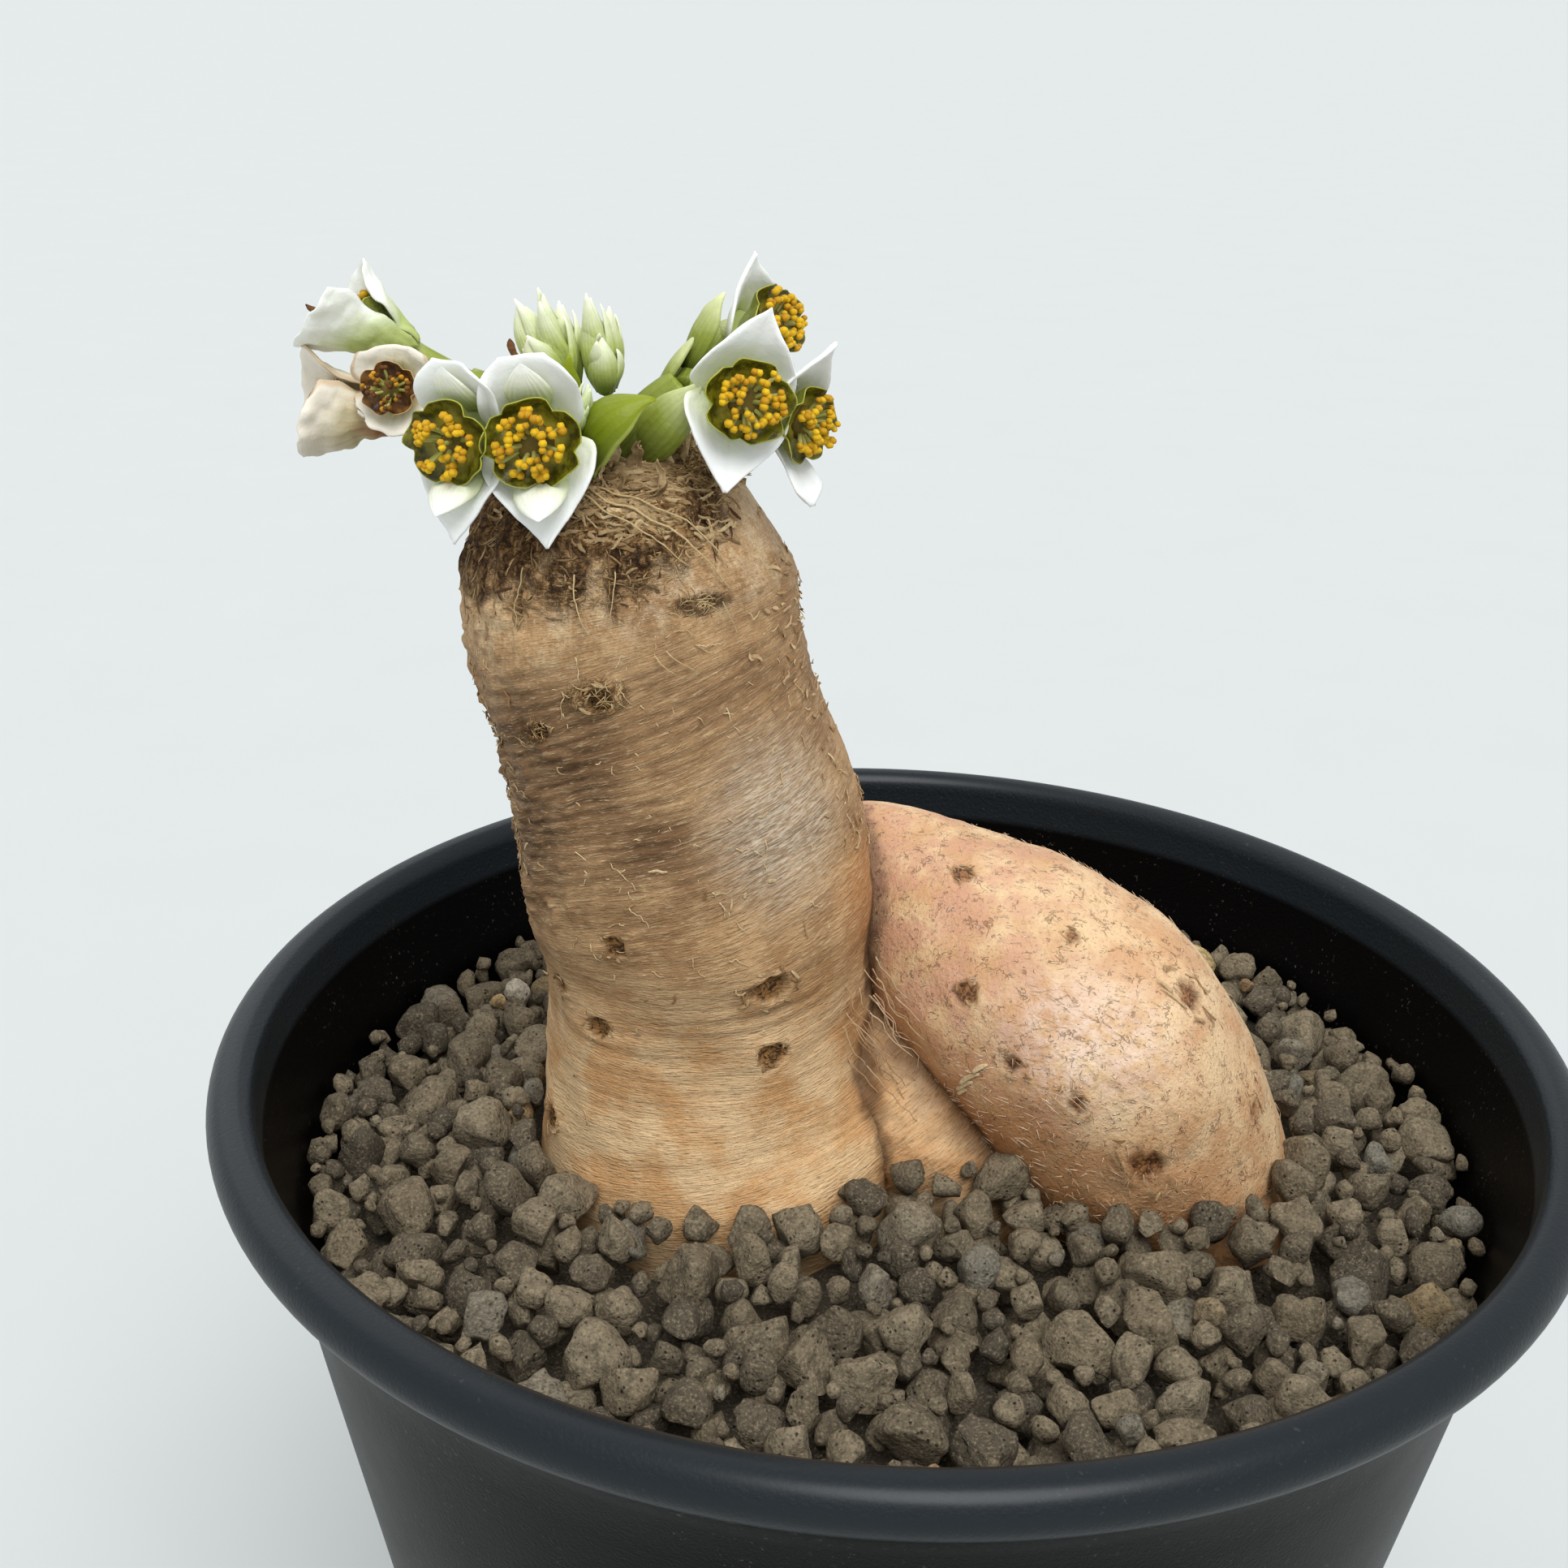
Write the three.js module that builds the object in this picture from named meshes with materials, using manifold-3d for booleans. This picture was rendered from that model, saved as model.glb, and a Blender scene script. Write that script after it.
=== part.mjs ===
// A caudex euphorbia in flower, in a round plastic pot filled with gravel.
// Millimetres, +Z up. The origin is the centre of the pot's base, and the front is towards -Y.
import * as THREE from 'three';
import { mergeVertices } from 'three/addons/utils/BufferGeometryUtils.js';
import Module from 'manifold-3d';

const wasm = await Module();
wasm.setup();

// Sizes of the pot
const POT_LIP_RADIUS = 60;
const POT_LIP_Z = 100;
const LIP_ROLL_RADIUS = 2.35;
const LIP_CREASE = [56.3, 101.7];
const POT_BASE_RADIUS = 38.5;
const POT_WALL = 1.6;
const POT_FLOOR = 2.2;
const POT_SIDES = 32;
const DRAIN_HOLES = 6;
const DRAIN_HOLE_RADIUS = 3;
const DRAIN_CIRCLE_RADIUS = 25;

// The space that neighbouring pieces keep between them
const GAP = 0.3;

// Sizes of the gravel
const GRAVEL_Z = 91.2;
const STONE_PITCH = 8;
const STONE_RELIEF = 2.3;
const LOOSE_STONES = 7;
// Where it is heaped against the plant, as [x, y, distance from there, width, height]
const HEAPS = [[-14, -1.5, 19, 9, 2.6], [22, -3, 15, 8, 2]];

// Colours, with roughness
const finish = (color, roughness) => new THREE.MeshStandardMaterial({ color, roughness, metalness: 0 });
const FINISHES = {
  plastic: finish('#23262a', 0.5),
  stone: finish('#6a6154', 0.95),
  bark: finish('#c09a6c', 0.85),
  stem: finish('#8fa052', 0.6),
  leaf: finish('#6f8f2e', 0.55),
  bud: finish('#cfd8a2', 0.6),
  bract: finish('#f1f1ea', 0.6),
  faded: finish('#e2d2bd', 0.75),
  disc: finish('#6b6a16', 0.35),
  stamen: finish('#dba31a', 0.7),
};

// A repeatable draw of numbers from 0 to 1
function drawFrom(seed) {
  let state = seed;
  return () => {
    state = (state + 0x6d2b79f5) | 0;
    let t = Math.imul(state ^ (state >>> 15), 1 | state);
    t = (t + Math.imul(t ^ (t >>> 7), 61 | t)) ^ t;
    return ((t ^ (t >>> 14)) >>> 0) / 4294967296;
  };
}

const vec = (list) => new THREE.Vector3(...list);
const degrees = (angle) => (angle * Math.PI) / 180;

// The values part way along a row of knots, on a smooth curve through them
function along(knots, t) {
  const last = knots.length - 1;
  const place = Math.min(Math.max(t, 0), 1) * last;
  const i = Math.min(Math.floor(place), last - 1);
  const f = place - i;
  const at = (k) => knots[Math.min(Math.max(k, 0), last)];
  return at(i).map((b, n) => {
    const [a, c, d] = [at(i - 1)[n], at(i + 1)[n], at(i + 2)[n]];
    return b + 0.5 * f * (c - a + f * (2 * a - 5 * b + 4 * c - d + f * (3 * (b - c) + d - a)));
  });
}

// A geometry from points and triangles
function geometryOf(points, triangles) {
  const geometry = new THREE.BufferGeometry();
  geometry.setAttribute('position', new THREE.Float32BufferAttribute(points.flatMap((p) => p.toArray()), 3));
  geometry.setIndex(triangles.flat());
  return geometry;
}

// A closed skin over rings of points that turn anticlockwise round the way from first to last
function skin(rings) {
  const sides = rings[0].length;
  const points = rings.flat();
  const triangles = [];
  for (let i = 0; i < rings.length - 1; i++) {
    for (let j = 0; j < sides; j++) {
      const a = i * sides + j;
      const b = i * sides + ((j + 1) % sides);
      triangles.push([a, b, b + sides], [a, b + sides, a + sides]);
    }
  }
  for (const [ring, first] of [[rings[0], 0], [rings.at(-1), (rings.length - 1) * sides]]) {
    const middle = ring.reduce((sum, p) => sum.add(p), new THREE.Vector3()).divideScalar(sides);
    points.push(middle);
    for (let j = 0; j < sides; j++) {
      const a = first + j;
      const b = first + ((j + 1) % sides);
      triangles.push(first === 0 ? [b, a, points.length - 1] : [a, b, points.length - 1]);
    }
  }
  return geometryOf(points, triangles);
}

const evenly = (count, from = 0, to = 1) =>
  Array.from({ length: count + 1 }, (_, i) => from + ((to - from) * i) / count);

// A limb along knots of [x, y, z, half width, half depth], with a ring at each of the stations from
// 0 to 1; relief(angle, t) raises its surface, and grow fattens it all over
function limb(knots, { stations, sides, grow = 0, relief = () => 0 }) {
  const rows = [];
  const front = new THREE.Vector3(0, -1, 0);
  const centre = (t) => vec(along(knots, t).slice(0, 3));
  const rings = stations.length - 1;
  for (let i = 0; i <= rings; i++) {
    const t = stations[i];
    const step = 0.02;
    const tangent = centre(t + step).sub(centre(t - step)).normalize();
    const right = tangent.clone().cross(front).normalize();
    const back = tangent.clone().cross(right);
    const [, , , halfWidth, halfDepth] = along(knots, t);
    const middle = centre(t).addScaledVector(tangent, grow * (i === 0 ? -1 : i === rings ? 1 : 0));
    const row = [];
    for (let j = 0; j < sides; j++) {
      const angle = (2 * Math.PI * j) / sides;
      const lift = grow + relief(angle, t);
      row.push(
        middle.clone()
          .addScaledVector(right, (halfWidth + lift) * Math.cos(angle))
          .addScaledVector(back, (halfDepth + lift) * Math.sin(angle)),
      );
    }
    rows.push(row);
  }
  return skin(rows);
}

// A thin blade: surface(u, v) is its middle sheet, split alike on both faces
function blade(surface, { long, wide, thickness = 0.6 }) {
  const points = [];
  const triangles = [];
  const step = 0.01;
  for (const face of [1, -1]) {
    for (let i = 0; i <= long; i++) {
      for (let j = 0; j <= wide; j++) {
        const [u, v] = [i / long, (2 * j) / wide - 1];
        const alongU = surface(Math.min(u + step, 1), v).sub(surface(Math.max(u - step, 0), v));
        const alongV = surface(u, Math.min(v + step, 1)).sub(surface(u, Math.max(v - step, -1)));
        const normal = alongU.cross(alongV).normalize();
        points.push(surface(u, v).addScaledVector(normal, (face * thickness) / 2));
      }
    }
  }
  const across = wide + 1;
  const under = (long + 1) * across;
  for (let i = 0; i < long; i++) {
    for (let j = 0; j < wide; j++) {
      const a = i * across + j;
      const [b, c, d] = [a + across, a + across + 1, a + 1];
      triangles.push([a, b, c], [a, c, d], [under + a, under + c, under + b], [under + a, under + d, under + c]);
    }
  }
  const wall = (a, b) => triangles.push([a, under + a, under + b], [a, under + b, b]);
  for (let i = 0; i < long; i++) {
    wall(i * across, (i + 1) * across);
    wall((i + 1) * across + wide, i * across + wide);
  }
  for (let j = 0; j < wide; j++) {
    wall(long * across + j, long * across + j + 1);
    wall(j + 1, j);
  }
  return geometryOf(points, triangles);
}

// A solid for joining and cutting, and the geometry of one
function solid(geometry) {
  const bare = geometry.clone();
  bare.deleteAttribute('normal');
  bare.deleteAttribute('uv');
  const merged = mergeVertices(bare, 1e-4);
  return new wasm.Manifold(new wasm.Mesh({
    numProp: 3,
    vertProperties: new Float32Array(merged.attributes.position.array),
    triVerts: new Uint32Array(merged.index.array),
  }));
}

const joined = (geometries) => geometries.map(solid).reduce((sum, piece) => sum.add(piece));
const largest = (body) => body.decompose().sort((a, b) => b.volume() - a.volume())[0];

function geometryFrom(body) {
  const { vertProperties, triVerts, numProp } = largest(body).getMesh();
  const geometry = new THREE.BufferGeometry();
  const positions = [];
  for (let i = 0; i < vertProperties.length; i += numProp) {
    positions.push(vertProperties[i], vertProperties[i + 1], vertProperties[i + 2]);
  }
  geometry.setAttribute('position', new THREE.Float32BufferAttribute(positions, 3));
  geometry.setIndex([...triVerts]);
  return geometry;
}

const part = new THREE.Group();

function addPiece(name, body, material) {
  const mesh = new THREE.Mesh(geometryFrom(body), material);
  mesh.name = name;
  part.add(mesh);
}

// The pot's wall: its outer radius at each height, from the base to just under the lip
const WALL_KNOTS = [[0, 38.5], [75, 51.8], [86, 53.7], [93, 55.2], [97.6, 57.4]];
const innerRadius = (z) => {
  const i = WALL_KNOTS.findIndex(([height]) => height >= z);
  const [[z0, r0], [z1, r1]] = [WALL_KNOTS[Math.max(i - 1, 0)], WALL_KNOTS[Math.max(i, 1)]];
  return r0 + ((r1 - r0) * (z - z0)) / (z1 - z0) - POT_WALL;
};

function makePot() {
  const rollCentre = POT_LIP_RADIUS - LIP_ROLL_RADIUS;
  const roll = [-70, -35, 0, 35, 70, 105].map((angle) => [
    rollCentre + LIP_ROLL_RADIUS * Math.cos(degrees(angle)),
    POT_LIP_Z + LIP_ROLL_RADIUS * Math.sin(degrees(angle)),
  ]);
  const outside = WALL_KNOTS.slice(1).map(([z, r]) => [r, z]);
  const inside = [95, 86, 75, POT_FLOOR].map((z) => [innerRadius(z), z]);
  const profile = [
    [0, 0], [POT_BASE_RADIUS - 1, 0], [POT_BASE_RADIUS, 1], ...outside, ...roll,
    LIP_CREASE, ...inside, [0, POT_FLOOR],
  ].map(([r, z]) => new THREE.Vector2(r, z));
  const shell = new THREE.LatheGeometry(profile, POT_SIDES).rotateX(Math.PI / 2);
  let body = solid(shell);
  for (let i = 0; i < DRAIN_HOLES; i++) {
    const hole = new THREE.CylinderGeometry(DRAIN_HOLE_RADIUS, DRAIN_HOLE_RADIUS, 3 * POT_FLOOR, 6);
    hole.rotateX(Math.PI / 2).translate(DRAIN_CIRCLE_RADIUS, 0, 0).rotateZ((2 * Math.PI * i) / DRAIN_HOLES);
    body = body.subtract(solid(hole));
  }
  addPiece('pot', body, FINISHES.plastic);
}

// The caudex: a leaning column and a tuber that grows from its foot and lies against it.
// Knots are [x, y, z, half width, half depth]
const COLUMN = [
  [-12, 0, 62, 3, 3], [-12.5, 0, 72, 11, 11], [-13.4, -1, 82, 16, 16], [-14.2, -1.5, 90, 17.6, 18],
  [-16.6, -1.2, 96, 15.6, 15.8], [-16.4, -1, 102, 14.5, 14.8], [-16.6, -1, 108, 14.3, 14.5],
  [-17, -0.8, 114, 15.1, 15.1], [-18.4, -0.6, 121, 15.1, 15.1], [-19.9, -0.5, 127, 14.3, 14.5],
  [-21.3, -0.4, 132, 13.7, 13.9], [-22.9, -0.2, 138, 13.8, 13.8], [-23.7, 0, 144, 13.5, 13.5],
  [-23.4, 0, 149.8, 10.6, 10.6], [-23.2, 0, 153.2, 6.2, 6.2], [-23, 0, 154.8, 2.2, 2.2],
];
const TUBER = [
  [-10, 8, 117, 5, 5], [-1.6, 6.5, 113.9, 6.6, 6.6], [8.5, 1.8, 108.1, 11.3, 11.6], [18, -2.8, 101.1, 12.6, 12.4],
  [25.7, -1, 86.4, 11.8, 11.4], [30.5, -5.5, 78.5, 8, 8], [31, -5.5, 69, 3, 3],
];
// The web of bark that joins the tuber to the column's foot
const WEB = [[-6, 0, 101, 4, 4], [-1, -2, 97.5, 6.5, 7], [5, -4, 91, 7.5, 8], [9, -4, 82, 6, 6], [10, -4, 75, 2, 2]];
// Leaf scars and eyes, as [distance along the limb, angle from the right, anticlockwise, size]
const COLUMN_SCARS = [
  [0.719, 265, 2], [0.699, 240, 1.2], [0.491, 250, 1.3], [0.439, 297, 2], [0.378, 298, 1.5],
  [0.393, 236, 1.4], [0.416, 216, 1.2], [0.276, 210, 1.4], [0.6, 60, 1.5], [0.42, 110, 1.6],
];
const TUBER_EYES = [
  [0.261, 224, 1], [0.356, 266, 1.4], [0.484, 207, 1.6], [0.439, 277, 1.1], [0.536, 264, 1.8], [0.45, 60, 1.3],
];

const CROWN_FLAKES = 8;

// Growth rings round the column, and the torn bark of its crown
function columnRelief(grow) {
  const draw = drawFrom(11);
  return (angle, t) => {
    const wander = 0.035 * Math.sin(angle + 0.6);
    const rings = 0.3 * Math.sin((t + wander) * 96) + 0.22 * Math.sin((t + wander) * 151 + 2 * Math.sin(angle));
    const crown = t > 0.86 ? 1.1 * (draw() - 0.5) : 0;
    const buried = t < 0.2 ? 0 : 1;
    return grow ? 0.45 : buried * rings + crown;
  };
}

// A low rimmed mound on a limb, with a sunk middle
function scar(knots, [t, angle, size]) {
  const [x, y, z, halfWidth, halfDepth] = along(knots, t);
  const tangent = vec(along(knots, t + 0.02).slice(0, 3)).sub(vec(along(knots, t - 0.02).slice(0, 3))).normalize();
  const right = tangent.clone().cross(new THREE.Vector3(0, -1, 0)).normalize();
  const back = tangent.clone().cross(right);
  const [c, s] = [Math.cos(degrees(angle)), Math.sin(degrees(angle))];
  const out = right.clone().multiplyScalar(c).addScaledVector(back, s);
  const round = tangent.clone().cross(out);
  const foot = new THREE.Vector3(x, y, z).addScaledVector(right, halfWidth * c).addScaledVector(back, halfDepth * s);
  const ring = (radius, height) => Array.from({ length: 5 }, (_, k) => {
    const turn = (2 * Math.PI * k) / 5;
    return foot.clone().addScaledVector(out, height)
      .addScaledVector(round, 1.3 * radius * Math.cos(turn))
      .addScaledVector(tangent, radius * Math.sin(turn));
  });
  return skin([ring(size, -1.2), ring(0.8 * size, 0.7), ring(0.4 * size, 0.2)]);
}

// Torn, papery leaf bases round the crown, each a small pointed flake
function crownFlakes() {
  const draw = drawFrom(13);
  return Array.from({ length: CROWN_FLAKES }, (_, k) => {
    const turn = (2 * Math.PI * (k + 0.6 * draw())) / CROWN_FLAKES;
    const radius = 3.2 + 4.6 * draw();
    const height = 2.2 + 2 * draw();
    const out = new THREE.Vector3(Math.cos(turn), Math.sin(turn), 0);
    const side = new THREE.Vector3(-Math.sin(turn), Math.cos(turn), 0);
    const root = new THREE.Vector3(-23.2, 0, 153).addScaledVector(out, radius);
    return blade((u, v) => root.clone()
      .addScaledVector(side, v * (1.5 - 1.2 * u))
      .addScaledVector(out, 1.3 * u * u + 0.5 * v * v)
      .add(new THREE.Vector3(0, 0, height * u - 1.2 * (1 - u) - 0.06 * radius * radius)),
    { long: 1, wide: 2, thickness: 0.7 });
  });
}

function caudexBody(grow) {
  const shapes = [
    limb(COLUMN, { stations: [0, 0.07, 0.13, ...evenly(26, 0.19)], sides: 22, grow, relief: columnRelief(grow) }),
    limb(TUBER, { stations: evenly(10), sides: 18, grow }),
    limb(WEB, { stations: evenly(4), sides: 10, grow }),
  ];
  if (!grow) {
    shapes.push(...COLUMN_SCARS.map((mark) => scar(COLUMN, mark)), ...TUBER_EYES.map((mark) => scar(TUBER, mark)));
    shapes.push(...crownFlakes());
  }
  return joined(shapes);
}

// The gravel: a bed of stones in a honeycomb that has been pushed out of true, with loose ones on top
function gravelHeight(x, y) {
  return HEAPS.reduce((z, [heapX, heapY, distance, width, height]) => {
    const away = (Math.hypot(x - heapX, y - heapY) - distance) / width;
    return z + height * Math.exp(-(away ** 2));
  }, GRAVEL_Z);
}

function stoneBed() {
  const draw = drawFrom(23);
  const corners = new Map();
  const points = [];
  const triangles = [];
  const edges = new Map();
  const cornerRadius = STONE_PITCH / Math.sqrt(3);
  const shake = (size) => size * (draw() - 0.5);
  const cornerAt = (x, y) => {
    const key = `${Math.round(x * 10)},${Math.round(y * 10)}`;
    if (!corners.has(key)) {
      const [px, py] = [x + shake(2.2), y + shake(2.2)];
      points.push(new THREE.Vector3(px, py, gravelHeight(px, py) - STONE_RELIEF + shake(0.5)));
      points.push(new THREE.Vector3(px, py, 0));
      corners.set(key, points.length - 2);
    }
    return corners.get(key);
  };
  const rows = Math.ceil(POT_LIP_RADIUS / STONE_PITCH) + 2;
  for (let i = -rows; i <= rows; i++) {
    for (let j = -rows; j <= rows; j++) {
      const cx = STONE_PITCH * (i + j / 2);
      const cy = STONE_PITCH * j * Math.sqrt(0.75);
      if (Math.hypot(cx, cy) > POT_LIP_RADIUS) continue;
      const ring = Array.from({ length: 6 }, (_, k) => {
        const turn = degrees(30 + 60 * k);
        return cornerAt(cx + cornerRadius * Math.cos(turn), cy + cornerRadius * Math.sin(turn));
      });
      const middle = ring.reduce((sum, k) => sum.add(points[k]), new THREE.Vector3()).divideScalar(6);
      const top = gravelHeight(middle.x, middle.y) + shake(1.6);
      const [tiltX, tiltY] = [shake(0.5), shake(0.5)];
      const first = points.length;
      for (const k of ring) {
        const x = middle.x + 0.66 * (points[k].x - middle.x) + shake(0.4);
        const y = middle.y + 0.66 * (points[k].y - middle.y) + shake(0.4);
        points.push(new THREE.Vector3(x, y, top + tiltX * (x - middle.x) + tiltY * (y - middle.y)));
      }
      for (let k = 0; k < 6; k++) {
        const [a, b] = [ring[k], ring[(k + 1) % 6]];
        const [p, q] = [first + k, first + ((k + 1) % 6)];
        triangles.push([a, b, q], [a, q, p]);
        edges.set(`${a},${b}`, [a, b]);
      }
      for (const [a, b, c] of [[0, 1, 2], [0, 2, 3], [0, 3, 4], [0, 4, 5]]) {
        triangles.push([first + a, first + b, first + c], [ring[a] + 1, ring[c] + 1, ring[b] + 1]);
      }
    }
  }
  for (const [a, b] of edges.values()) {
    if (!edges.has(`${b},${a}`)) triangles.push([a, a + 1, b + 1], [a, b + 1, b]);
  }
  return geometryOf(points, triangles);
}

function looseStones() {
  const draw = drawFrom(31);
  return Array.from({ length: LOOSE_STONES }, (_, k) => {
    const turn = 2.4 * k;
    const reach = 14 + 34 * Math.sqrt((k + 0.5) / LOOSE_STONES);
    const [x, y] = [reach * Math.cos(turn), reach * Math.sin(turn)];
    const size = 2.1 + 1.5 * draw();
    return new THREE.IcosahedronGeometry(size)
      .scale(1.2, 1, 0.8)
      .rotateX(2 * draw())
      .rotateZ(6 * draw())
      .translate(x, y, gravelHeight(x, y) + 0.5);
  });
}

function makeGravel(plantSpace) {
  const inside = [POT_FLOOR + GAP, 75, 86, 95].map((z) => [innerRadius(z) - GAP - 0.1, z]);
  const profile = [[0, POT_FLOOR + GAP], ...inside, [0, 99]].map(([r, z]) => new THREE.Vector2(r, z));
  const inPot = solid(new THREE.LatheGeometry(profile, POT_SIDES).rotateX(Math.PI / 2));
  const stones = joined([stoneBed(), ...looseStones()]);
  addPiece('gravel', inPot.intersect(stones).subtract(plantSpace), FINISHES.stone);
}

// The blooms. Each faces along its own axis, with one bract above and one below its cup.
// at is the middle of the disc, and a bract is [length, half width, lean at its root, lean at its tip]
const CUP_LENGTH = 4.2;
const BLOOMS = [
  { name: 'bloom_5', at: [-28.6, -13, 156.7], facing: [0.05, -1, 0.1], up: [-0.12, 0, 1], size: 1.05,
    upper: [6.2, 3.3, 38, 66], lower: [7, 3.8, 40, 78], stamens: 9, budded: true },
  { name: 'bloom_4', at: [-35.1, -12.3, 156.4], facing: [-0.6, -0.8, 0.05], up: [-0.02, 0, 1], size: 1,
    upper: [6.2, 2.9, 38, 66], lower: [7.2, 3.4, 40, 78], stamens: 9, budded: true },
  { name: 'bloom_6', at: [-13, -8, 159.3], facing: [0.45, -0.87, 0.12], up: [0.3, 0, 1], size: 1,
    upper: [6.4, 3.9, 38, 66], lower: [6.1, 4, 40, 78], stamens: 9 },
  { name: 'bloom_8', at: [-8.8, -3, 156.6], facing: [0.9, -0.4, -0.1], up: [0.1, 0, 1], size: 0.95,
    upper: [7.2, 3.2, 38, 58], lower: [6.2, 2.8, 38, 68], stamens: 8 },
  { name: 'bloom_7', at: [-11.5, -1, 164.1], facing: [0.82, -0.45, 0.32], up: [-0.3, 0, 1], size: 0.9,
    upper: [5.9, 3.2, 38, 55], lower: [4.8, 2.8, 38, 65], stamens: 8 },
  { name: 'bloom_2', at: [-41.4, -5, 158.7], facing: [-0.1, -0.95, 0.25], up: [0, 0.2, 1], size: 0.66,
    upper: [5, 3, 40, 48], lower: [5, 3, 40, 48], stamens: 6, faded: true },
  { name: 'bloom_1', at: [-44.8, 0.6, 163], facing: [-0.82, -0.1, 0.55], up: [0.3, 0.72, 0.6], size: 0.9,
    upper: [7.4, 3.7, 34, 38], lower: [8.4, 4.2, 34, 42], stamens: 3 },
  { name: 'bloom_3', at: [-46.8, -1, 156], facing: [-0.95, -0.2, 0.08], up: [0, 0.88, 0.45], size: 0.9,
    upper: [8, 3.5, 34, 36], lower: [7.2, 3.2, 32, 34], stamens: 3, faded: true },
];

// A bloom's place: local x across, y up and z ahead, from the root of its cup
function bloomPlace({ at, facing, up, size }) {
  const ahead = vec(facing).normalize();
  const upward = vec(up).addScaledVector(ahead, -vec(up).dot(ahead)).normalize();
  const across = upward.clone().cross(ahead);
  const root = vec(at).addScaledVector(ahead, -CUP_LENGTH * size);
  return (x, y, z) => root.clone()
    .addScaledVector(across, x * size)
    .addScaledVector(upward, y * size)
    .addScaledVector(ahead, z * size);
}

function turnedRings(place, rings, sides, lobed = () => 1) {
  return skin(rings.map(([radius, z, wave = 0]) => Array.from({ length: sides }, (_, k) => {
    const turn = (2 * Math.PI * k) / sides;
    const r = radius * (1 + wave * (lobed(turn) - 1));
    return place(1.06 * r * Math.cos(turn), 0.94 * r * Math.sin(turn), z);
  })));
}

// The cup, with its five lobed glands that spread into a shiny disc
function cup(place, grow) {
  const lobed = (turn) => 1 + 0.16 * Math.cos(5 * (turn - Math.PI / 2));
  const outside = [[1.2, 1.1], [2, 2.8], [2.95, 3.8, 1]].map(([r, z, wave]) => [r + grow, z - grow, wave]);
  const inside = [[2.85, 4.25, 1], [1.3, 3.8]].map(([r, z, wave]) => [r + grow, z + grow, wave]);
  return turnedRings(place, [...outside, ...inside], 10, lobed);
}

// A stamen: a three-sided stalk that swells into a knob
function stamen(place, root, tip, grow) {
  const [foot, head] = [place(...root), place(...tip)];
  const way = head.clone().sub(foot);
  const side = new THREE.Vector3(0.3, 0.5, 0.8).cross(way).normalize();
  const other = way.clone().normalize().cross(side);
  const shape = [[0, 0.2], [0.7, 0.18], [0.85, 0.46], [1.1, 0.3]];
  return skin(shape.map(([t, radius]) => [0, 1, 2].map((k) => {
    const turn = (2 * Math.PI * k) / 3;
    return foot.clone()
      .addScaledVector(way, t)
      .addScaledVector(side, (radius + grow) * Math.cos(turn))
      .addScaledVector(other, (radius + grow) * Math.sin(turn));
  })));
}

function stamenTuft(bloom, place, grow) {
  const draw = drawFrom(bloom.name.charCodeAt(6));
  const pad = turnedRings(place, [[1 + grow, 4.1 - grow], [0.7 + grow, 4.75 + grow]], 6);
  const stamens = Array.from({ length: bloom.stamens }, (_, k) => {
    const turn = 2.4 * k;
    const reach = 0.3 + 1.8 * Math.sqrt((k + 0.3) / bloom.stamens);
    const [c, s] = [Math.cos(turn), Math.sin(turn)];
    return stamen(place, [0.3 * c, 0.3 * s, 4.45], [reach * c, reach * s, 5.9 - 0.3 * reach + 0.4 * draw()], grow);
  });
  return joined([pad, ...stamens]);
}

// A bract leans further out along its length and ends in a point; its edges lift round the cup
const BRACT_OUTLINE = [[0.3], [0.66], [1], [0.86], [0.04]];

function bract(place, side, [length, halfWidth, leanRoot, leanTip], grow) {
  const [a, b] = [degrees(leanRoot), degrees(leanTip)];
  return blade((u, v) => {
    const lean = a + (b - a) * u;
    const out = 1.75 + ((length + grow) * (Math.cos(a) - Math.cos(lean))) / (b - a);
    const ahead = 0.3 + ((length + grow) * (Math.sin(lean) - Math.sin(a))) / (b - a);
    const width = halfWidth * along(BRACT_OUTLINE, u)[0] + grow;
    const lift = (0.55 - 0.35 * u) * v * v * width;
    return place(side * v * width, side * (out - lift * Math.cos(lean)), ahead + lift * Math.sin(lean));
  }, { long: 4, wide: 2, thickness: 0.6 + 2 * grow });
}

// A pale pointed bud between a bract and the cup
const AXIL_BUD = [[2, 0.5, 0.7, 0.35], [2.9, 2.2, 1.1, 0.4], [3.75, 3.9, 1.3, 0.5], [4.2, 6.4, 0.15, 0.12]];

function axilBud(place, side, grow) {
  return skin(AXIL_BUD.map(([out, ahead, halfWidth, halfDepth]) => [0, 1, 2, 3].map((k) => {
    const turn = (Math.PI * k) / 2;
    const width = (halfWidth + grow) * Math.cos(turn);
    return place(side * width, side * (out + (halfDepth + grow) * Math.sin(turn)), ahead);
  })));
}

function bracts(bloom, place, grow) {
  const collar = turnedRings(place, [[1.5 + grow, -grow], [1.9 + grow, 0.75 + grow]], 6);
  const blades = [bract(place, 1, bloom.upper, grow), bract(place, -1, bloom.lower, grow)];
  const buds = bloom.budded ? [axilBud(place, 1, grow), axilBud(place, -1, grow)] : [];
  return joined([collar, ...blades, ...buds]);
}

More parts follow.
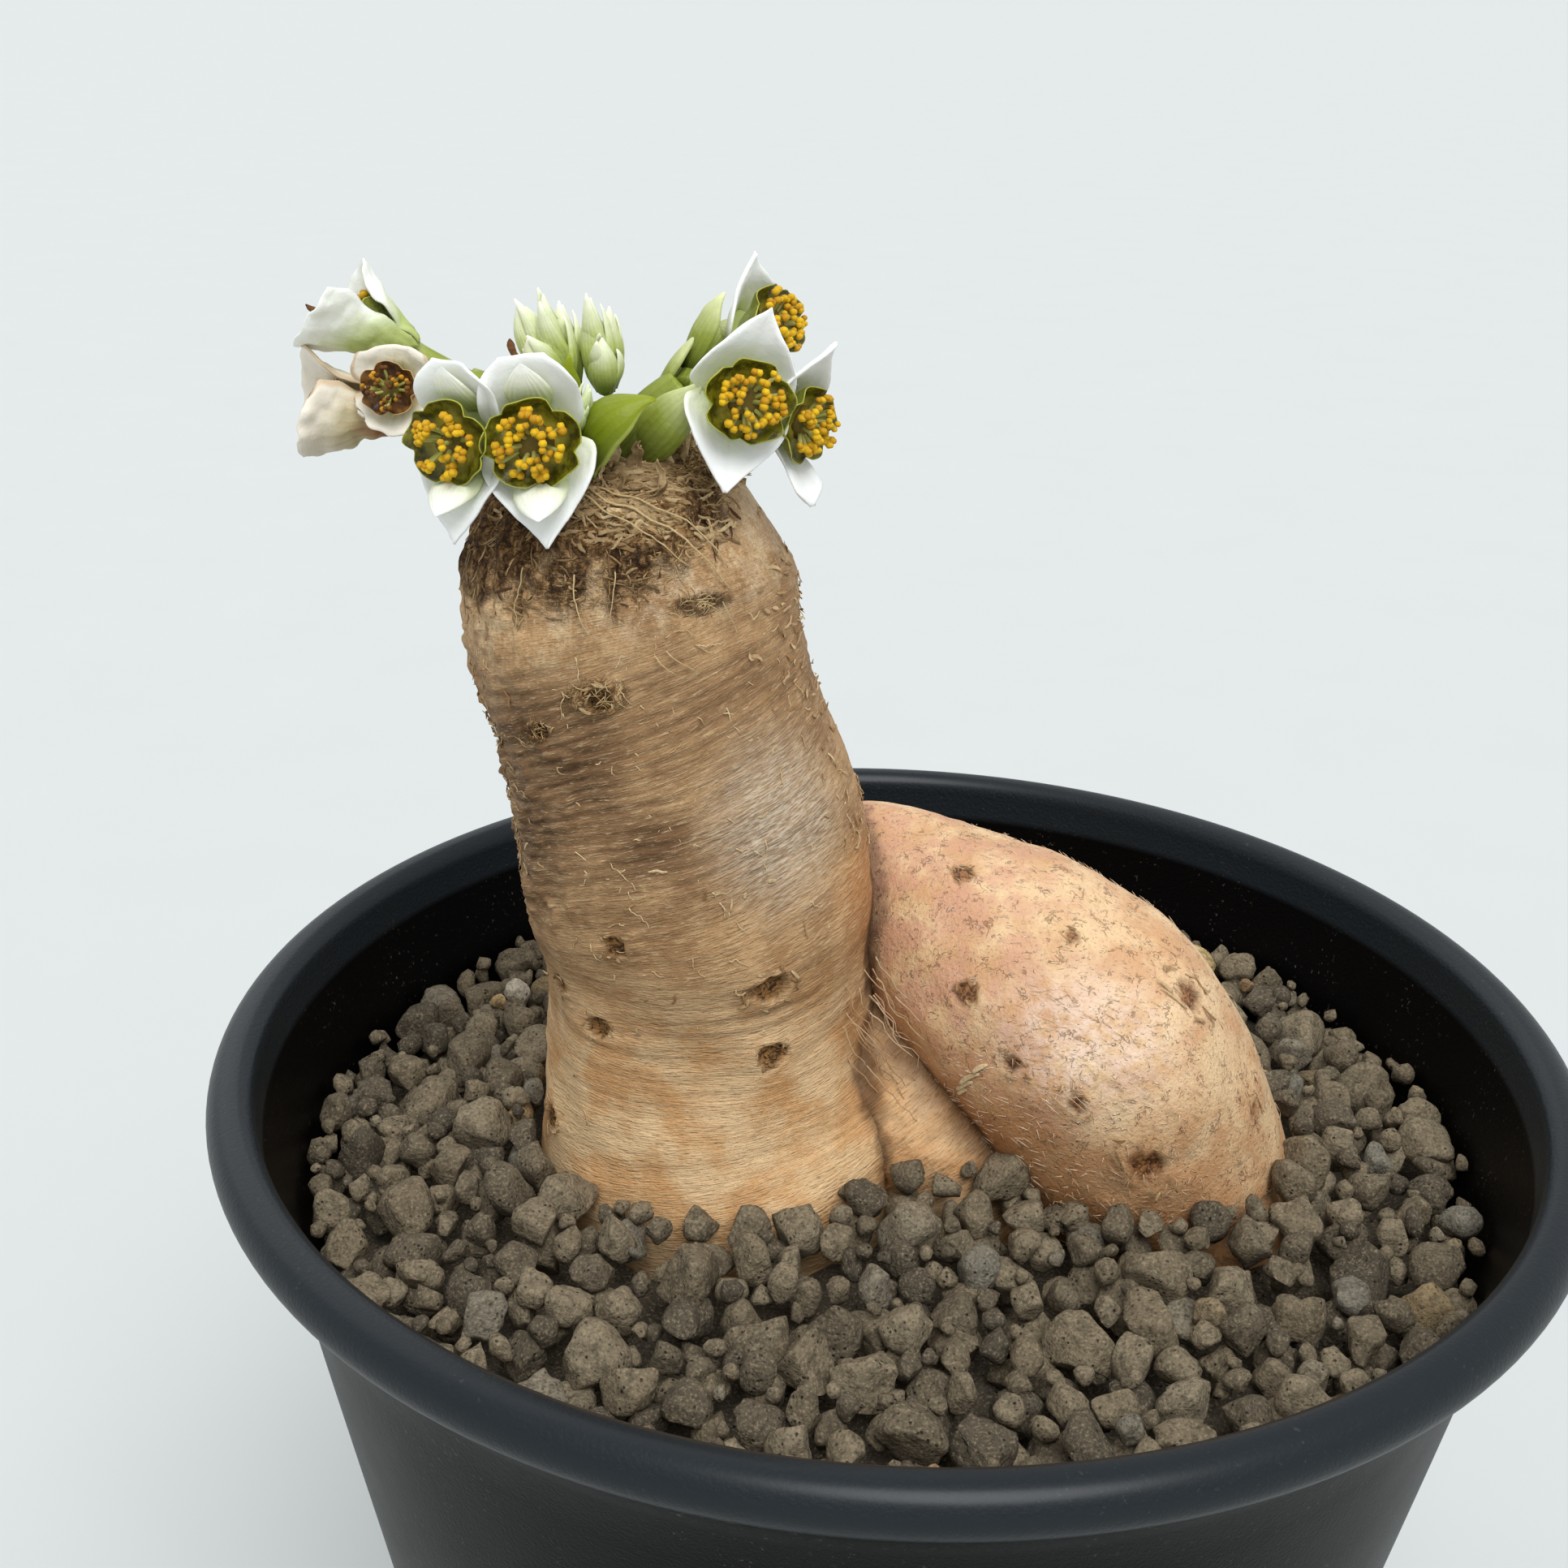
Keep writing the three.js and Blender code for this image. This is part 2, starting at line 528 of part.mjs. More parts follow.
// The green stems: one leafy shoot that branches from the crown, and ends behind each bloom
const SHOOT_ROOT = [-24.2, -2.2, 151];
const BRANCHES = [
  { way: [[-26, -4.5, 154, 1.9], [-29, -7, 155.6, 1.7]], blooms: ['bloom_5', 'bloom_4'] },
  { way: [[-22.5, -3, 154.4, 2.3], [-20.5, -3, 156.8, 2.4], [-18.2, -2.8, 158.9, 2.1]], blooms: ['bloom_6', 'bloom_7', 'bloom_8'] },
  { way: [[-26.5, -1, 154.4, 2], [-31, 0, 156.4, 1.7], [-36.3, 0.3, 157.8, 1.7]], blooms: ['bloom_2', 'bloom_1', 'bloom_3'] },
  { way: [[-25.5, 0, 154.2, 2], [-26.4, 0.5, 157, 1.6]], blooms: [] },
];
const PEDICEL_RADIUS = 1.15;

const round = ([x, y, z, r]) => [x, y, z, r, r];

// A leaf or sheath: a pointed blade from root to tip, arched away from its stem and folded round it.
// out is the way that its back faces
function leafBlade({ root, tip, out, halfWidth, arch, fold }, grow) {
  const [start, end, back] = [vec(root), vec(tip), vec(out).normalize()];
  const across = end.clone().sub(start).normalize().cross(back);
  return blade((u, v) => {
    const width = halfWidth * along([[0.55], [1], [0.86], [0.06]], u)[0] + grow;
    const spread = v * degrees(fold);
    return start.clone().lerp(end, u)
      .addScaledVector(back, arch * Math.sin(Math.PI * u) - (width * (1 - Math.cos(spread))) / degrees(fold))
      .addScaledVector(across, (width * Math.sin(spread)) / degrees(fold));
  }, { long: 3, wide: fold > 50 ? 3 : 2, thickness: 0.65 + 2 * grow });
}

// Sheathing leaves along the right branch
const SHEATHS = [
  { root: [-22.6, -4.6, 153.4], tip: [-16.8, -6, 160.2], out: [0.1, -1, 0.3], halfWidth: 2.4, arch: 0.8, fold: 50 },
  { root: [-21.6, -1.4, 156.6], tip: [-17.2, -2.4, 163.4], out: [-0.5, 0, 0.8], halfWidth: 2.1, arch: 0.7, fold: 50 },
  { root: [-18.6, -1.8, 160.4], tip: [-15.4, -2.4, 166.4], out: [-0.8, -0.5, 0.2], halfWidth: 1.8, arch: 0.6, fold: 50 },
];

function stems(grow) {
  const shapes = [];
  for (const { way, blooms } of BRANCHES) {
    const path = [[...SHOOT_ROOT, 2.2], ...way].map(round);
    shapes.push(limb(path, { stations: evenly(way.length + 1), sides: 7, grow }));
    for (const name of blooms) {
      const bloom = BLOOMS.find((one) => one.name === name);
      const place = bloomPlace(bloom);
      const radius = PEDICEL_RADIUS * bloom.size;
      const before = place(0, 0, -1.6 - GAP).toArray();
      const end = place(0, 0, -GAP).toArray();
      const pedicel = [[...way.at(-1).slice(0, 3), 1.3], [...before, radius], [...end, radius]].map(round);
      shapes.push(limb(pedicel, { stations: [0, 0.5, 1], sides: 6, grow }));
    }
  }
  shapes.push(...SHEATHS.map((sheath) => leafBlade(sheath, grow)));
  return joined(shapes);
}

// Leaves that stand by themselves in the crown
const CURLED_LEAF = {
  root: [-24.6, -6.6, 154.4], tip: [-19.8, -8.2, 160], out: [-0.7, -0.4, 0.6], halfWidth: 3, arch: 1.6, fold: 65,
};
const SMALL_LEAF = {
  root: [-27.5, -3.6, 155.6], tip: [-27.3, -4.2, 161.6], out: [0.1, -1, 0.2], halfWidth: 1.1, arch: 0.5, fold: 50,
};
const SHOOT_TIP = { root: [-26.6, -7.6, 156.4], tips: [[-26.8, -8, 160.2], [-25.2, -7.8, 160.4], [-25.6, -8.8, 159]] };

// Closed flower buds: pointed spindles that share one foot
const BUDS_LEFT = {
  root: [-28.1, 0.4, 158.2], tips: [[-32.2, 0.4, 165], [-29.9, -0.6, 166], [-28.8, 1.6, 164.8], [-31, -1.8, 162.6]],
};
const BUDS_RIGHT = { root: [-25.2, 0.4, 158.2], tips: [[-26.2, -0.4, 165.8], [-25, 0.8, 164.6], [-25.1, -1.7, 162.8]] };

function budCluster({ root, tips }, thickness, grow) {
  return joined(tips.map((tip) => {
    const [start, end] = [vec(root), vec(tip)];
    const lean = new THREE.Vector3(end.x - start.x, end.y - start.y, 0).multiplyScalar(0.25);
    const knots = [[0, 0.5], [0.3, 0.95], [0.62, 0.8], [1, 0.06]].map(([t, width]) => {
      const middle = start.clone().lerp(end, t).addScaledVector(lean, Math.sin(Math.PI * t));
      return [...middle.toArray(), thickness * width, 0.8 * thickness * width];
    });
    return limb(knots, { stations: evenly(4), sides: 5, grow });
  }));
}

const plant = [
  ['stems', stems, FINISHES.stem],
  ['leaf_curled', (grow) => solid(leafBlade(CURLED_LEAF, grow)), FINISHES.leaf],
  ['leaf_small', (grow) => solid(leafBlade(SMALL_LEAF, grow)), FINISHES.leaf],
  ['shoot_tip', (grow) => budCluster(SHOOT_TIP, 0.9, grow), FINISHES.stem],
  ['buds_left', (grow) => budCluster(BUDS_LEFT, 1.6, grow), FINISHES.bud],
  ['buds_right', (grow) => budCluster(BUDS_RIGHT, 1.6, grow), FINISHES.bud],
];
for (const bloom of BLOOMS) {
  const place = bloomPlace(bloom);
  plant.push([`${bloom.name}_cup`, (grow) => solid(cup(place, grow)), FINISHES.disc]);
  plant.push([`${bloom.name}_stamens`, (grow) => stamenTuft(bloom, place, grow), FINISHES.stamen]);
}
for (const bloom of BLOOMS) {
  const material = bloom.faded ? FINISHES.faded : FINISHES.bract;
  plant.push([`${bloom.name}_bracts`, (grow) => bracts(bloom, bloomPlace(bloom), grow), material]);
}

// Each piece of the plant keeps clear of those before it, and the crown is hollowed round the stems
makePot();
let taken;
for (const [name, shape, material] of plant) {
  addPiece(name, taken ? shape(0).subtract(taken) : shape(0), material);
  taken = taken ? taken.add(shape(GAP)) : shape(GAP);
}
addPiece('caudex', caudexBody(0).subtract(taken), FINISHES.bark);
makeGravel(caudexBody(GAP));

export default part;
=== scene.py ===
import itertools
import math

import bmesh
import bpy
import numpy as np
from mathutils import Matrix


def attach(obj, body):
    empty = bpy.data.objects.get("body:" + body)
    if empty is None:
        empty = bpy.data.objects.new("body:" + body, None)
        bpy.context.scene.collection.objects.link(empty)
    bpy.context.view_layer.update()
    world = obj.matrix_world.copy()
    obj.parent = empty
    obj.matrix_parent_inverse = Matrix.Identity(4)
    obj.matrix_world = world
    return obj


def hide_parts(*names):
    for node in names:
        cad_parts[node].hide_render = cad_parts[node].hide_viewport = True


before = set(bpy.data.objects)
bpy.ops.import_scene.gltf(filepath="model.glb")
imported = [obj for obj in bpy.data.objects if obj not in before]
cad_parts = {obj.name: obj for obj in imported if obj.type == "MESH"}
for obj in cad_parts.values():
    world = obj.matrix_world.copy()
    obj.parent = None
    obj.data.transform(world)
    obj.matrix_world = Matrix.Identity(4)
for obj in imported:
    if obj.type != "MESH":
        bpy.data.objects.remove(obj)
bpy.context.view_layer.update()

# Sizes are in millimetres in this file, and become metres as each piece is made
MM = 0.001
FRONT = np.array([0.0, -1.0, 0.0])
UPWARD = np.array([0.0, 0.0, 1.0])

# The camera's place, and its turn to the side, down and over, in degrees
CAMERA_AT = (0.0, -154.077, 190.565)
CAMERA_TURN = (-3.8086, 23.121, 1.1453)
LENS_PER_WIDTH = 2400 / 1932
SENSOR_WIDTH = 36

# The pot: its outer wall as [height, radius], and its rolled lip
POT_WALL = [(0, 38.5), (75, 51.8), (86, 53.7), (93, 55.2), (97.6, 57.4)]
WALL_THICKNESS = 1.6
FLOOR_THICKNESS = 2.2
LIP_CENTRE = (57.65, 100.0)
LIP_RADIUS = 2.35
LIP_CREASE = (56.3, 101.7)
DRAIN_HOLES = 6
DRAIN_HOLE_RADIUS = 3.0
DRAIN_CIRCLE_RADIUS = 25.0
POT_SIDES = 160

# The gravel, and where it is heaped, as [x, y, distance from there, width, height]
GRAVEL_Z = 91.2
HEAPS = [(-14, -1.5, 19, 9, 2.6), (22, -3, 15, 8, 2)]

# The caudex: knots of [x, y, z, half width, half depth]
COLUMN = np.array([
    (-12, 0, 62, 3, 3), (-12.5, 0, 72, 11, 11), (-13.4, -1, 82, 16, 16), (-14.6, -1.4, 90, 17.3, 17.6),
    (-15.9, -1.2, 96, 15.9, 16), (-16.4, -1, 102, 14.8, 15), (-16.6, -1, 108, 14.3, 14.5),
    (-17, -0.8, 114, 15.1, 15.1), (-18.4, -0.6, 121, 15.1, 15.1), (-19.9, -0.5, 127, 14.3, 14.5),
    (-21.3, -0.4, 132, 13.7, 13.9), (-22.9, -0.2, 138, 13.8, 13.8), (-23.7, 0, 144, 13.5, 13.5),
    (-23.4, 0, 149.8, 10.6, 10.6), (-23.2, 0, 153.2, 6.2, 6.2), (-23, 0, 154.8, 2.2, 2.2)], float)
TUBER = np.array([
    (-11.5, 6.2, 116.8, 3, 3), (-1.6, 6.3, 113.9, 6.6, 6.6), (8.5, 1.8, 108.1, 11.3, 11.6),
    (18, -2.8, 101.1, 12.6, 12.4), (25.7, -1, 86.4, 11.8, 11.4), (30.5, -5.5, 78.5, 8, 8),
    (31, -5.5, 69, 3, 3)], float)
WEB = np.array([
    (-6, 0, 101, 4, 4), (-1, -2, 97.5, 6.5, 7), (5, -4, 91, 7.5, 8), (9, -4, 82, 6, 6),
    (10, -4, 75, 2, 2)], float)
# Leaf scars and eyes, as [distance along the limb, angle, size]
COLUMN_SCARS = [
    (0.719, 265, 1.5), (0.699, 240, 1.1), (0.491, 250, 1.3), (0.439, 297, 2), (0.378, 298, 1.5),
    (0.393, 236, 1.4), (0.416, 216, 1.2), (0.276, 210, 1.4), (0.6, 60, 1.5), (0.42, 110, 1.6)]
TUBER_EYES = [
    (0.261, 224, 1), (0.356, 266, 1.4), (0.484, 207, 1.6), (0.439, 277, 1.1), (0.536, 264, 1.8),
    (0.45, 60, 1.3), (0.406, 220, 0.8), (0.484, 271, 0.9), (0.564, 208, 0.9)]

# The outlines of bracts and leaves, as the share of the half width from root to tip
HEART = (0.6, 0.98, 1.0, 0.82, 0.55, 0.26, 0.02)
BLUNT = (0.55, 0.85, 1.0, 1.02, 0.98, 0.82, 0.45)
OPEN_FUNNEL = (1.0, 1.0, 1.0, 1.0, 0.98, 0.9, 0.55)
WIDE_FUNNEL = (1.0, 1.0, 1.0, 1.0, 1.0, 0.98, 0.84)
STRAP = (0.6, 0.72, 0.64, 0.54, 0.58, 0.66, 0.2)
LEAF = (0.55, 1, 0.86, 0.05)
BUD_SCALE = (0.7, 1, 0.86, 0.45, 0.03)

# The blooms. at is the middle of the disc, and a bract is
# [length, half width, lean at its root, lean at its tip].
# Budded ones carry pale buds beside the cup, and the bracts of wrapping ones make a funnel
CUP_LENGTH = 4.2
BLOOMS = {
    5: dict(at=(-28.6, -13, 156.7), facing=(0.05, -1, 0.1), up=(-0.12, 0, 1), size=1.05, stamens=26,
            upper=(5.8, 3.6, 38, 62), lower=(7, 4.1, 40, 78), upper_outline=BLUNT, budded=True),
    4: dict(at=(-35.1, -12.3, 156.4), facing=(-0.35, -0.93, 0.05), up=(-0.02, 0, 1), size=1, stamens=24,
            upper=(5.6, 3.4, 38, 62), lower=(7.2, 3.8, 40, 78), upper_outline=BLUNT, budded=True),
    6: dict(at=(-13, -8, 159.3), facing=(0.4, -0.9, 0.12), up=(0.3, 0, 1), size=1, stamens=26,
            upper=(6.8, 4.1, 38, 66), lower=(6.3, 4.2, 40, 78)),
    8: dict(at=(-8.8, -3, 156.6), facing=(0.85, -0.5, -0.1), up=(0.1, 0, 1), size=0.95, stamens=22,
            upper=(7.8, 3.9, 34, 54), lower=(7.4, 2.9, 26, 56), lower_outline=STRAP),
    7: dict(at=(-11.5, -1, 164.1), facing=(0.82, -0.45, 0.32), up=(-0.3, 0, 1), size=0.9, stamens=24,
            upper=(6.0, 3.9, 38, 55), lower=(5.6, 3.1, 34, 60)),
    2: dict(at=(-41.4, -5, 158.7), facing=(-0.1, -0.95, 0.25), up=(0, 0.2, 1), size=0.66, stamens=18,
            upper=(4.6, 3.4, 30, 70), lower=(4.6, 3.4, 30, 70), upper_outline=OPEN_FUNNEL,
            lower_outline=OPEN_FUNNEL, faded=True, wraps=True),
    1: dict(at=(-44.8, 0.6, 163), facing=(-0.82, -0.1, 0.55), up=(0.3, 0.72, 0.6), size=0.9, stamens=7,
            upper=(7.2, 3.1, 14, 30), lower=(8.4, 3.2, 12, 34), upper_outline=WIDE_FUNNEL,
            lower_outline=WIDE_FUNNEL, wraps=True, slim=0.78),
    3: dict(at=(-46.8, -1, 156), facing=(-0.95, -0.2, 0.08), up=(0, 0.88, 0.45), size=0.9, stamens=7,
            upper=(8, 3.2, 14, 30), lower=(7.6, 3.2, 14, 30), upper_outline=WIDE_FUNNEL,
            lower_outline=OPEN_FUNNEL, faded=True, wraps=True, slim=0.78),
}

# The pale buds between a bract and the cup, as [out, ahead, half width, half depth]
UPPER_AXIL_BUD = [
    (2.3, 1.2, 1.5, 0.35), (3.3, 2.9, 1.7, 0.45), (4.2, 3.9, 1.3, 0.4), (5.0, 4.5, 0.65, 0.25),
    (5.6, 4.7, 0.06, 0.05)]
LOWER_AXIL_BUD = [
    (2.3, 1.2, 1.5, 0.5), (3.2, 3.2, 2.0, 0.8), (3.9, 4.6, 1.7, 0.8), (4.6, 5.6, 0.95, 0.45),
    (5.2, 6.3, 0.06, 0.05)]

# The collar behind the bracts and the brown middle under the stamens, as [radius, ahead]
COLLAR = [(1.5, 0), (1.75, 0.3), (1.95, 0.65), (1.7, 0.8)]
STAMEN_FOOT = [(1.5, 3.6), (1.3, 4.1), (0.85, 4.4), (0.3, 4.5)]
KNOB = (0.3, 0.3, 0.36)

# The cup from the bowl's middle over its rim to the foot, as [radius, height, how much the lobes show]
CUP_SIDES = 80
CUP_PROFILE = [
    (0.5, 3.55, 0), (1.1, 3.6, 0.2), (1.9, 3.75, 0.6), (2.6, 4.05, 0.9), (3.0, 4.4, 1), (3.16, 4.5, 1),
    (3.2, 4.38, 1), (3.05, 4.1, 1), (2.6, 3.4, 0.7), (2.15, 2.7, 0.3), (1.75, 1.9, 0.1), (1.4, 1.25, 0),
    (1.15, 1.0, 0)]

# The green shoot: its branches as knots of [x, y, z, radius] with the blooms that each carries
SHOOT_ROOT = (-24.2, -2.2, 151)
BRANCHES = [
    ([(-26, -4.5, 154, 1.9), (-29, -7, 155.6, 1.7)], (5, 4)),
    ([(-22.5, -3, 154.4, 2.3), (-20.5, -3, 156.8, 2.4), (-18.2, -2.8, 158.9, 2.1)], (6, 7, 8)),
    ([(-26.5, -1, 154.4, 2), (-31, 0, 156.4, 1.7), (-36.3, 0.3, 157.8, 1.7)], (2, 1, 3)),
    ([(-25.5, 0, 154.2, 2), (-26.4, 0.5, 157, 1.6)], ()),
]
PEDICEL_RADIUS = 1.15

# Leaves: out is the way their backs arch, and fold is how far they wrap round a stem, in degrees
SHEATHS = [
    dict(root=(-22.6, -4.6, 153.4), tip=(-16.8, -6, 160.2), out=(0.1, -1, 0.3),
         half_width=2.4, arch=0.8, fold=50),
    dict(root=(-21.6, -1.4, 156.6), tip=(-17.2, -2.4, 163.4), out=(-0.5, 0, 0.8),
         half_width=2.1, arch=0.7, fold=50),
    dict(root=(-18.6, -1.8, 160.4), tip=(-15.4, -2.4, 166.4), out=(-0.8, -0.5, 0.2),
         half_width=1.8, arch=0.6, fold=50),
]
CURLED_LEAF = dict(root=(-25.9, -7, 154.0), tip=(-21.6, -8.6, 159.9), out=(-0.62, -0.55, 0.55),
                   half_width=3.3, arch=1.9, fold=72, hook=np.array([1.6, 0, -0.5]))
SMALL_LEAF = dict(root=(-27.5, -3.6, 155.6), tip=(-27.3, -4.2, 161.6), out=(0.1, -1, 0.2),
                  half_width=1.1, arch=0.5, fold=50)

# Clusters of closed buds, from one root to each tip
BUD_OUTLINE = [(0, 0.5), (0.3, 0.8), (0.62, 0.6), (0.95, 0.04)]
SHOOT_TIP = dict(root=(-26.6, -7.6, 156.4), thickness=0.9, seed=11,
                 tips=[(-26.8, -8, 160.2), (-25.2, -7.8, 160.4), (-25.6, -8.8, 159)])
BUDS_LEFT = dict(root=(-28.1, 0.4, 158.2), thickness=1.6, seed=14,
                 tips=[(-32.2, 0.4, 165), (-29.9, -0.6, 166), (-28.8, 1.6, 164.8), (-31, -1.8, 162.6)])
BUDS_RIGHT = dict(root=(-25.2, 0.4, 158.2), thickness=1.6, seed=15,
                  tips=[(-26.2, -0.4, 165.8), (-25, 0.8, 164.6), (-25.1, -1.7, 162.8)])

# The dried style of bloom 1 and a dry tip by the left buds, as their paths and radii
DRIED_TIPS = [
    ([(-46.4, 0.9, 162.4), (-48.0, 1, 163.2), (-49.3, 1, 163.9)], 0.3),
    ([(-30.8, -1.9, 159.8), (-32.0, -2.5, 161.2), (-32.3, -2.5, 162.5)], 0.34)]
DRIED_SHARES = np.array([1, 1, 0.9, 0.8, 0.8, 0.9, 1, 0.7, 0.2])


# Numbers

def unit(vectors):
    vectors = np.asarray(vectors, float)
    return vectors / np.maximum(np.linalg.norm(vectors, axis=-1, keepdims=True), 1e-9)


def smooth(low, high, value):
    """0 below low, 1 above high, and a smooth step between"""
    t = np.clip((np.asarray(value, float) - low) / (high - low), 0, 1)
    return t * t * (3 - 2 * t)


def along(knots, t):
    """The values part way along a row of knots, on a smooth curve through them"""
    knots = np.asarray(knots, float)
    last = len(knots) - 1
    place = np.clip(np.atleast_1d(t), 0, 1) * last
    i = np.minimum(np.floor(place).astype(int), last - 1)
    f = (place - i)[:, None]
    a, b, c, d = (knots[np.clip(i + k, 0, last)] for k in (-1, 0, 1, 2))
    return b + 0.5 * f * (c - a + f * (2 * a - 5 * b + 4 * c - d + f * (3 * (b - c) + d - a)))


# Large odd numbers that scatter the cells of a lattice
SCATTER_X, SCATTER_Y, SCATTER_Z = 73856093, 19349663, 83492791
SCATTER_SEED, SCATTER_AGAIN = 39916801, 1274126177
LATTICE_TOP = 0xFFFFFF


def lattice(cells, seed):
    """A repeatable number from 0 to 1 for each whole-numbered cell"""
    x, y, z = (cells[..., k].astype(np.int64) for k in range(3))
    n = (x * SCATTER_X) ^ (y * SCATTER_Y) ^ (z * SCATTER_Z) ^ (seed * SCATTER_SEED)
    n = (n ^ (n >> 13)) * SCATTER_AGAIN
    return ((n ^ (n >> 16)) & LATTICE_TOP) / LATTICE_TOP


def noise(points, size, seed=0):
    """Smooth lumps of about that size, from -1 to 1"""
    scaled = np.asarray(points, float) / size
    cells = np.floor(scaled)
    f = scaled - cells
    f = f * f * f * (f * (6 * f - 15) + 10)
    total = 0
    for corner in itertools.product((0, 1), repeat=3):
        weight = np.prod(np.where(np.array(corner) == 1, f, 1 - f), axis=-1)
        total = total + weight * lattice(cells + corner, seed)
    return 2 * total - 1


def rough(points, size, octaves=3, seed=0):
    """Lumps with finer lumps on them"""
    return sum(noise(points, size / 2 ** k, seed + k) / 2 ** k for k in range(octaves))


def outline_at(outline, t):
    """An outline's share of the half width, part way along"""
    return along(np.array(outline, float)[:, None], t)


# Shapes: every maker returns points and a list of face arrays

def grid(rows, columns, around=False):
    """Faces over rows of points, closed round each row if around"""
    i = np.arange(rows - 1)[:, None]
    j = np.arange(columns if around else columns - 1)[None, :]
    a = i * columns + j
    b = i * columns + (j + 1) % columns
    return np.stack([a, b, b + columns, a + columns], -1).reshape(-1, 4)


def skin(rows):
    """A closed skin over rings of points, with a middle point at each end"""
    count, sides = rows.shape[:2]
    points = np.concatenate([rows.reshape(-1, 3), rows[[0, -1]].mean(axis=1)])
    j = np.arange(sides)
    k = (j + 1) % sides
    first = np.stack([k, j, np.full(sides, count * sides)], -1)
    last = np.stack([j, k, np.full(sides, count * sides + 1)], -1)
    last[:, :2] += (count - 1) * sides
    return points, [grid(count, sides, around=True), first, last]


def limb_frame(knots, t):
    rows = along(knots, t)
    way = unit(along(knots, t + 0.02)[:, :3] - along(knots, t - 0.02)[:, :3])
    right = unit(np.cross(way, FRONT))
    return rows, way, right, np.cross(way, right)


def limb(knots, t, angles, lift=0):
    """Rings of points round a limb, raised by lift"""
    rows, _, right, back = limb_frame(knots, t)
    cos, sin = np.cos(angles)[None, :, None], np.sin(angles)[None, :, None]
    lift = np.broadcast_to(lift, (len(t), len(angles)))[..., None]
    width, depth = rows[:, 3][:, None, None] + lift, rows[:, 4][:, None, None] + lift
    return rows[:, None, :3] + width * cos * right[:, None] + depth * sin * back[:, None]


def thread(path, radius, sides=5):
    """A thin round strand along a path; radius may change on the way"""
    path = np.asarray(path, float)
    way = unit(np.gradient(path, axis=0))
    side = unit(np.cross(way, (0.31, 0.52, 0.79)))
    other = np.cross(way, side)
    turn = 2 * np.pi * np.arange(sides) / sides
    radius = np.broadcast_to(radius, len(path))[:, None, None]
    cos, sin = np.cos(turn)[None, :, None], np.sin(turn)[None, :, None]
    return skin(path[:, None] + radius * (cos * side[:, None] + sin * other[:, None]))


def strand(path, radius, sides=4):
    """A thread that thins to half at its end"""
    return thread(path, np.linspace(radius, 0.5 * radius, len(path)), sides)


def blade(middle, thickness):
    """A closed blade over a grid of middle points, half as thick at its rim"""
    rows, columns = middle.shape[:2]
    normal = unit(np.cross(np.gradient(middle, axis=0), np.gradient(middle, axis=1)))
    u, v = np.linspace(0, 1, rows), np.linspace(-1, 1, columns)
    rim = smooth(1, 0.8, np.abs(v))[None, :] * smooth(1, 0.92, u)[:, None]
    half = (0.5 * thickness * (0.4 + 0.6 * rim))[..., None]
    points = np.concatenate([(middle + side * normal * half).reshape(-1, 3) for side in (1, -1)])
    upper = grid(rows, columns)
    under = rows * columns
    edge = np.concatenate([
        np.arange(columns), np.arange(2, rows + 1) * columns - 1,
        (rows - 1) * columns + np.arange(columns - 2, -1, -1), np.arange(rows - 2, 0, -1) * columns])
    after = np.roll(edge, -1)
    wall = np.stack([after, edge, edge + under, after + under], -1)
    return points, [upper, upper[:, ::-1] + under, wall]


def ball(subdivisions):
    mesh = bmesh.new()
    bmesh.ops.create_icosphere(mesh, subdivisions=subdivisions, radius=1)
    points = np.array([v.co[:] for v in mesh.verts])
    faces = np.array([[v.index for v in f.verts] for f in mesh.faces])
    mesh.free()
    return points, [faces]


BALLS = {n: ball(n) for n in (2, 3, 4)}


class Piece:
    """Points and faces gathered for one piece, with named tones for its material"""

    def __init__(self, name, paint, replaces, slot):
        self.name, self.paint, self.nodes, self.slot = name, paint, replaces, slot
        self.points, self.faces, self.tones, self.count = [], [], {}, 0

    def add(self, shape, **tones):
        points, faces = shape
        points = np.asarray(points, float)
        if sum(self.volume(points, f) for f in faces) < 0:
            faces = [f[:, ::-1] for f in faces]
        self.faces += [f + self.count for f in faces]
        self.points.append(points)
        self.count += len(points)
        for key, value in tones.items():
            self.tones.setdefault(key, []).append(np.broadcast_to(np.asarray(value, float), len(points)))

    @staticmethod
    def volume(points, faces):
        a, b, c = (points[faces[:, k]] for k in (0, 1, 2))
        total = np.einsum("ij,ij->", a, np.cross(b, c))
        if faces.shape[1] == 4:
            total += np.einsum("ij,ij->", a, np.cross(c, points[faces[:, 3]]))
        return total

    def make(self):
        mesh = bpy.data.meshes.new(self.name)
        points = np.concatenate(self.points) * MM
        mesh.from_pydata(points.tolist(), [], [row for f in self.faces for row in f.tolist()])
        mesh.shade_smooth()
        for key, values in self.tones.items():
            layer = mesh.attributes.new(key, "FLOAT", "POINT")
            layer.data.foreach_set("value", np.concatenate(values).astype(np.float32))
        mesh.materials.append(self.paint.material)
        piece = bpy.data.objects.new(self.name, mesh)
        bpy.context.scene.collection.objects.link(piece)
        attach(piece, "root")
        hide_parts(*self.nodes)
        return piece


# Materials

def rgb(code):
    """A colour from its hexadecimal code"""
    parts = [int(code[k:k + 2], 16) / 255 for k in (1, 3, 5)]
    return tuple(p / 12.92 if p <= 0.04045 else ((p + 0.055) / 1.055) ** 2.4 for p in parts) + (1.0,)


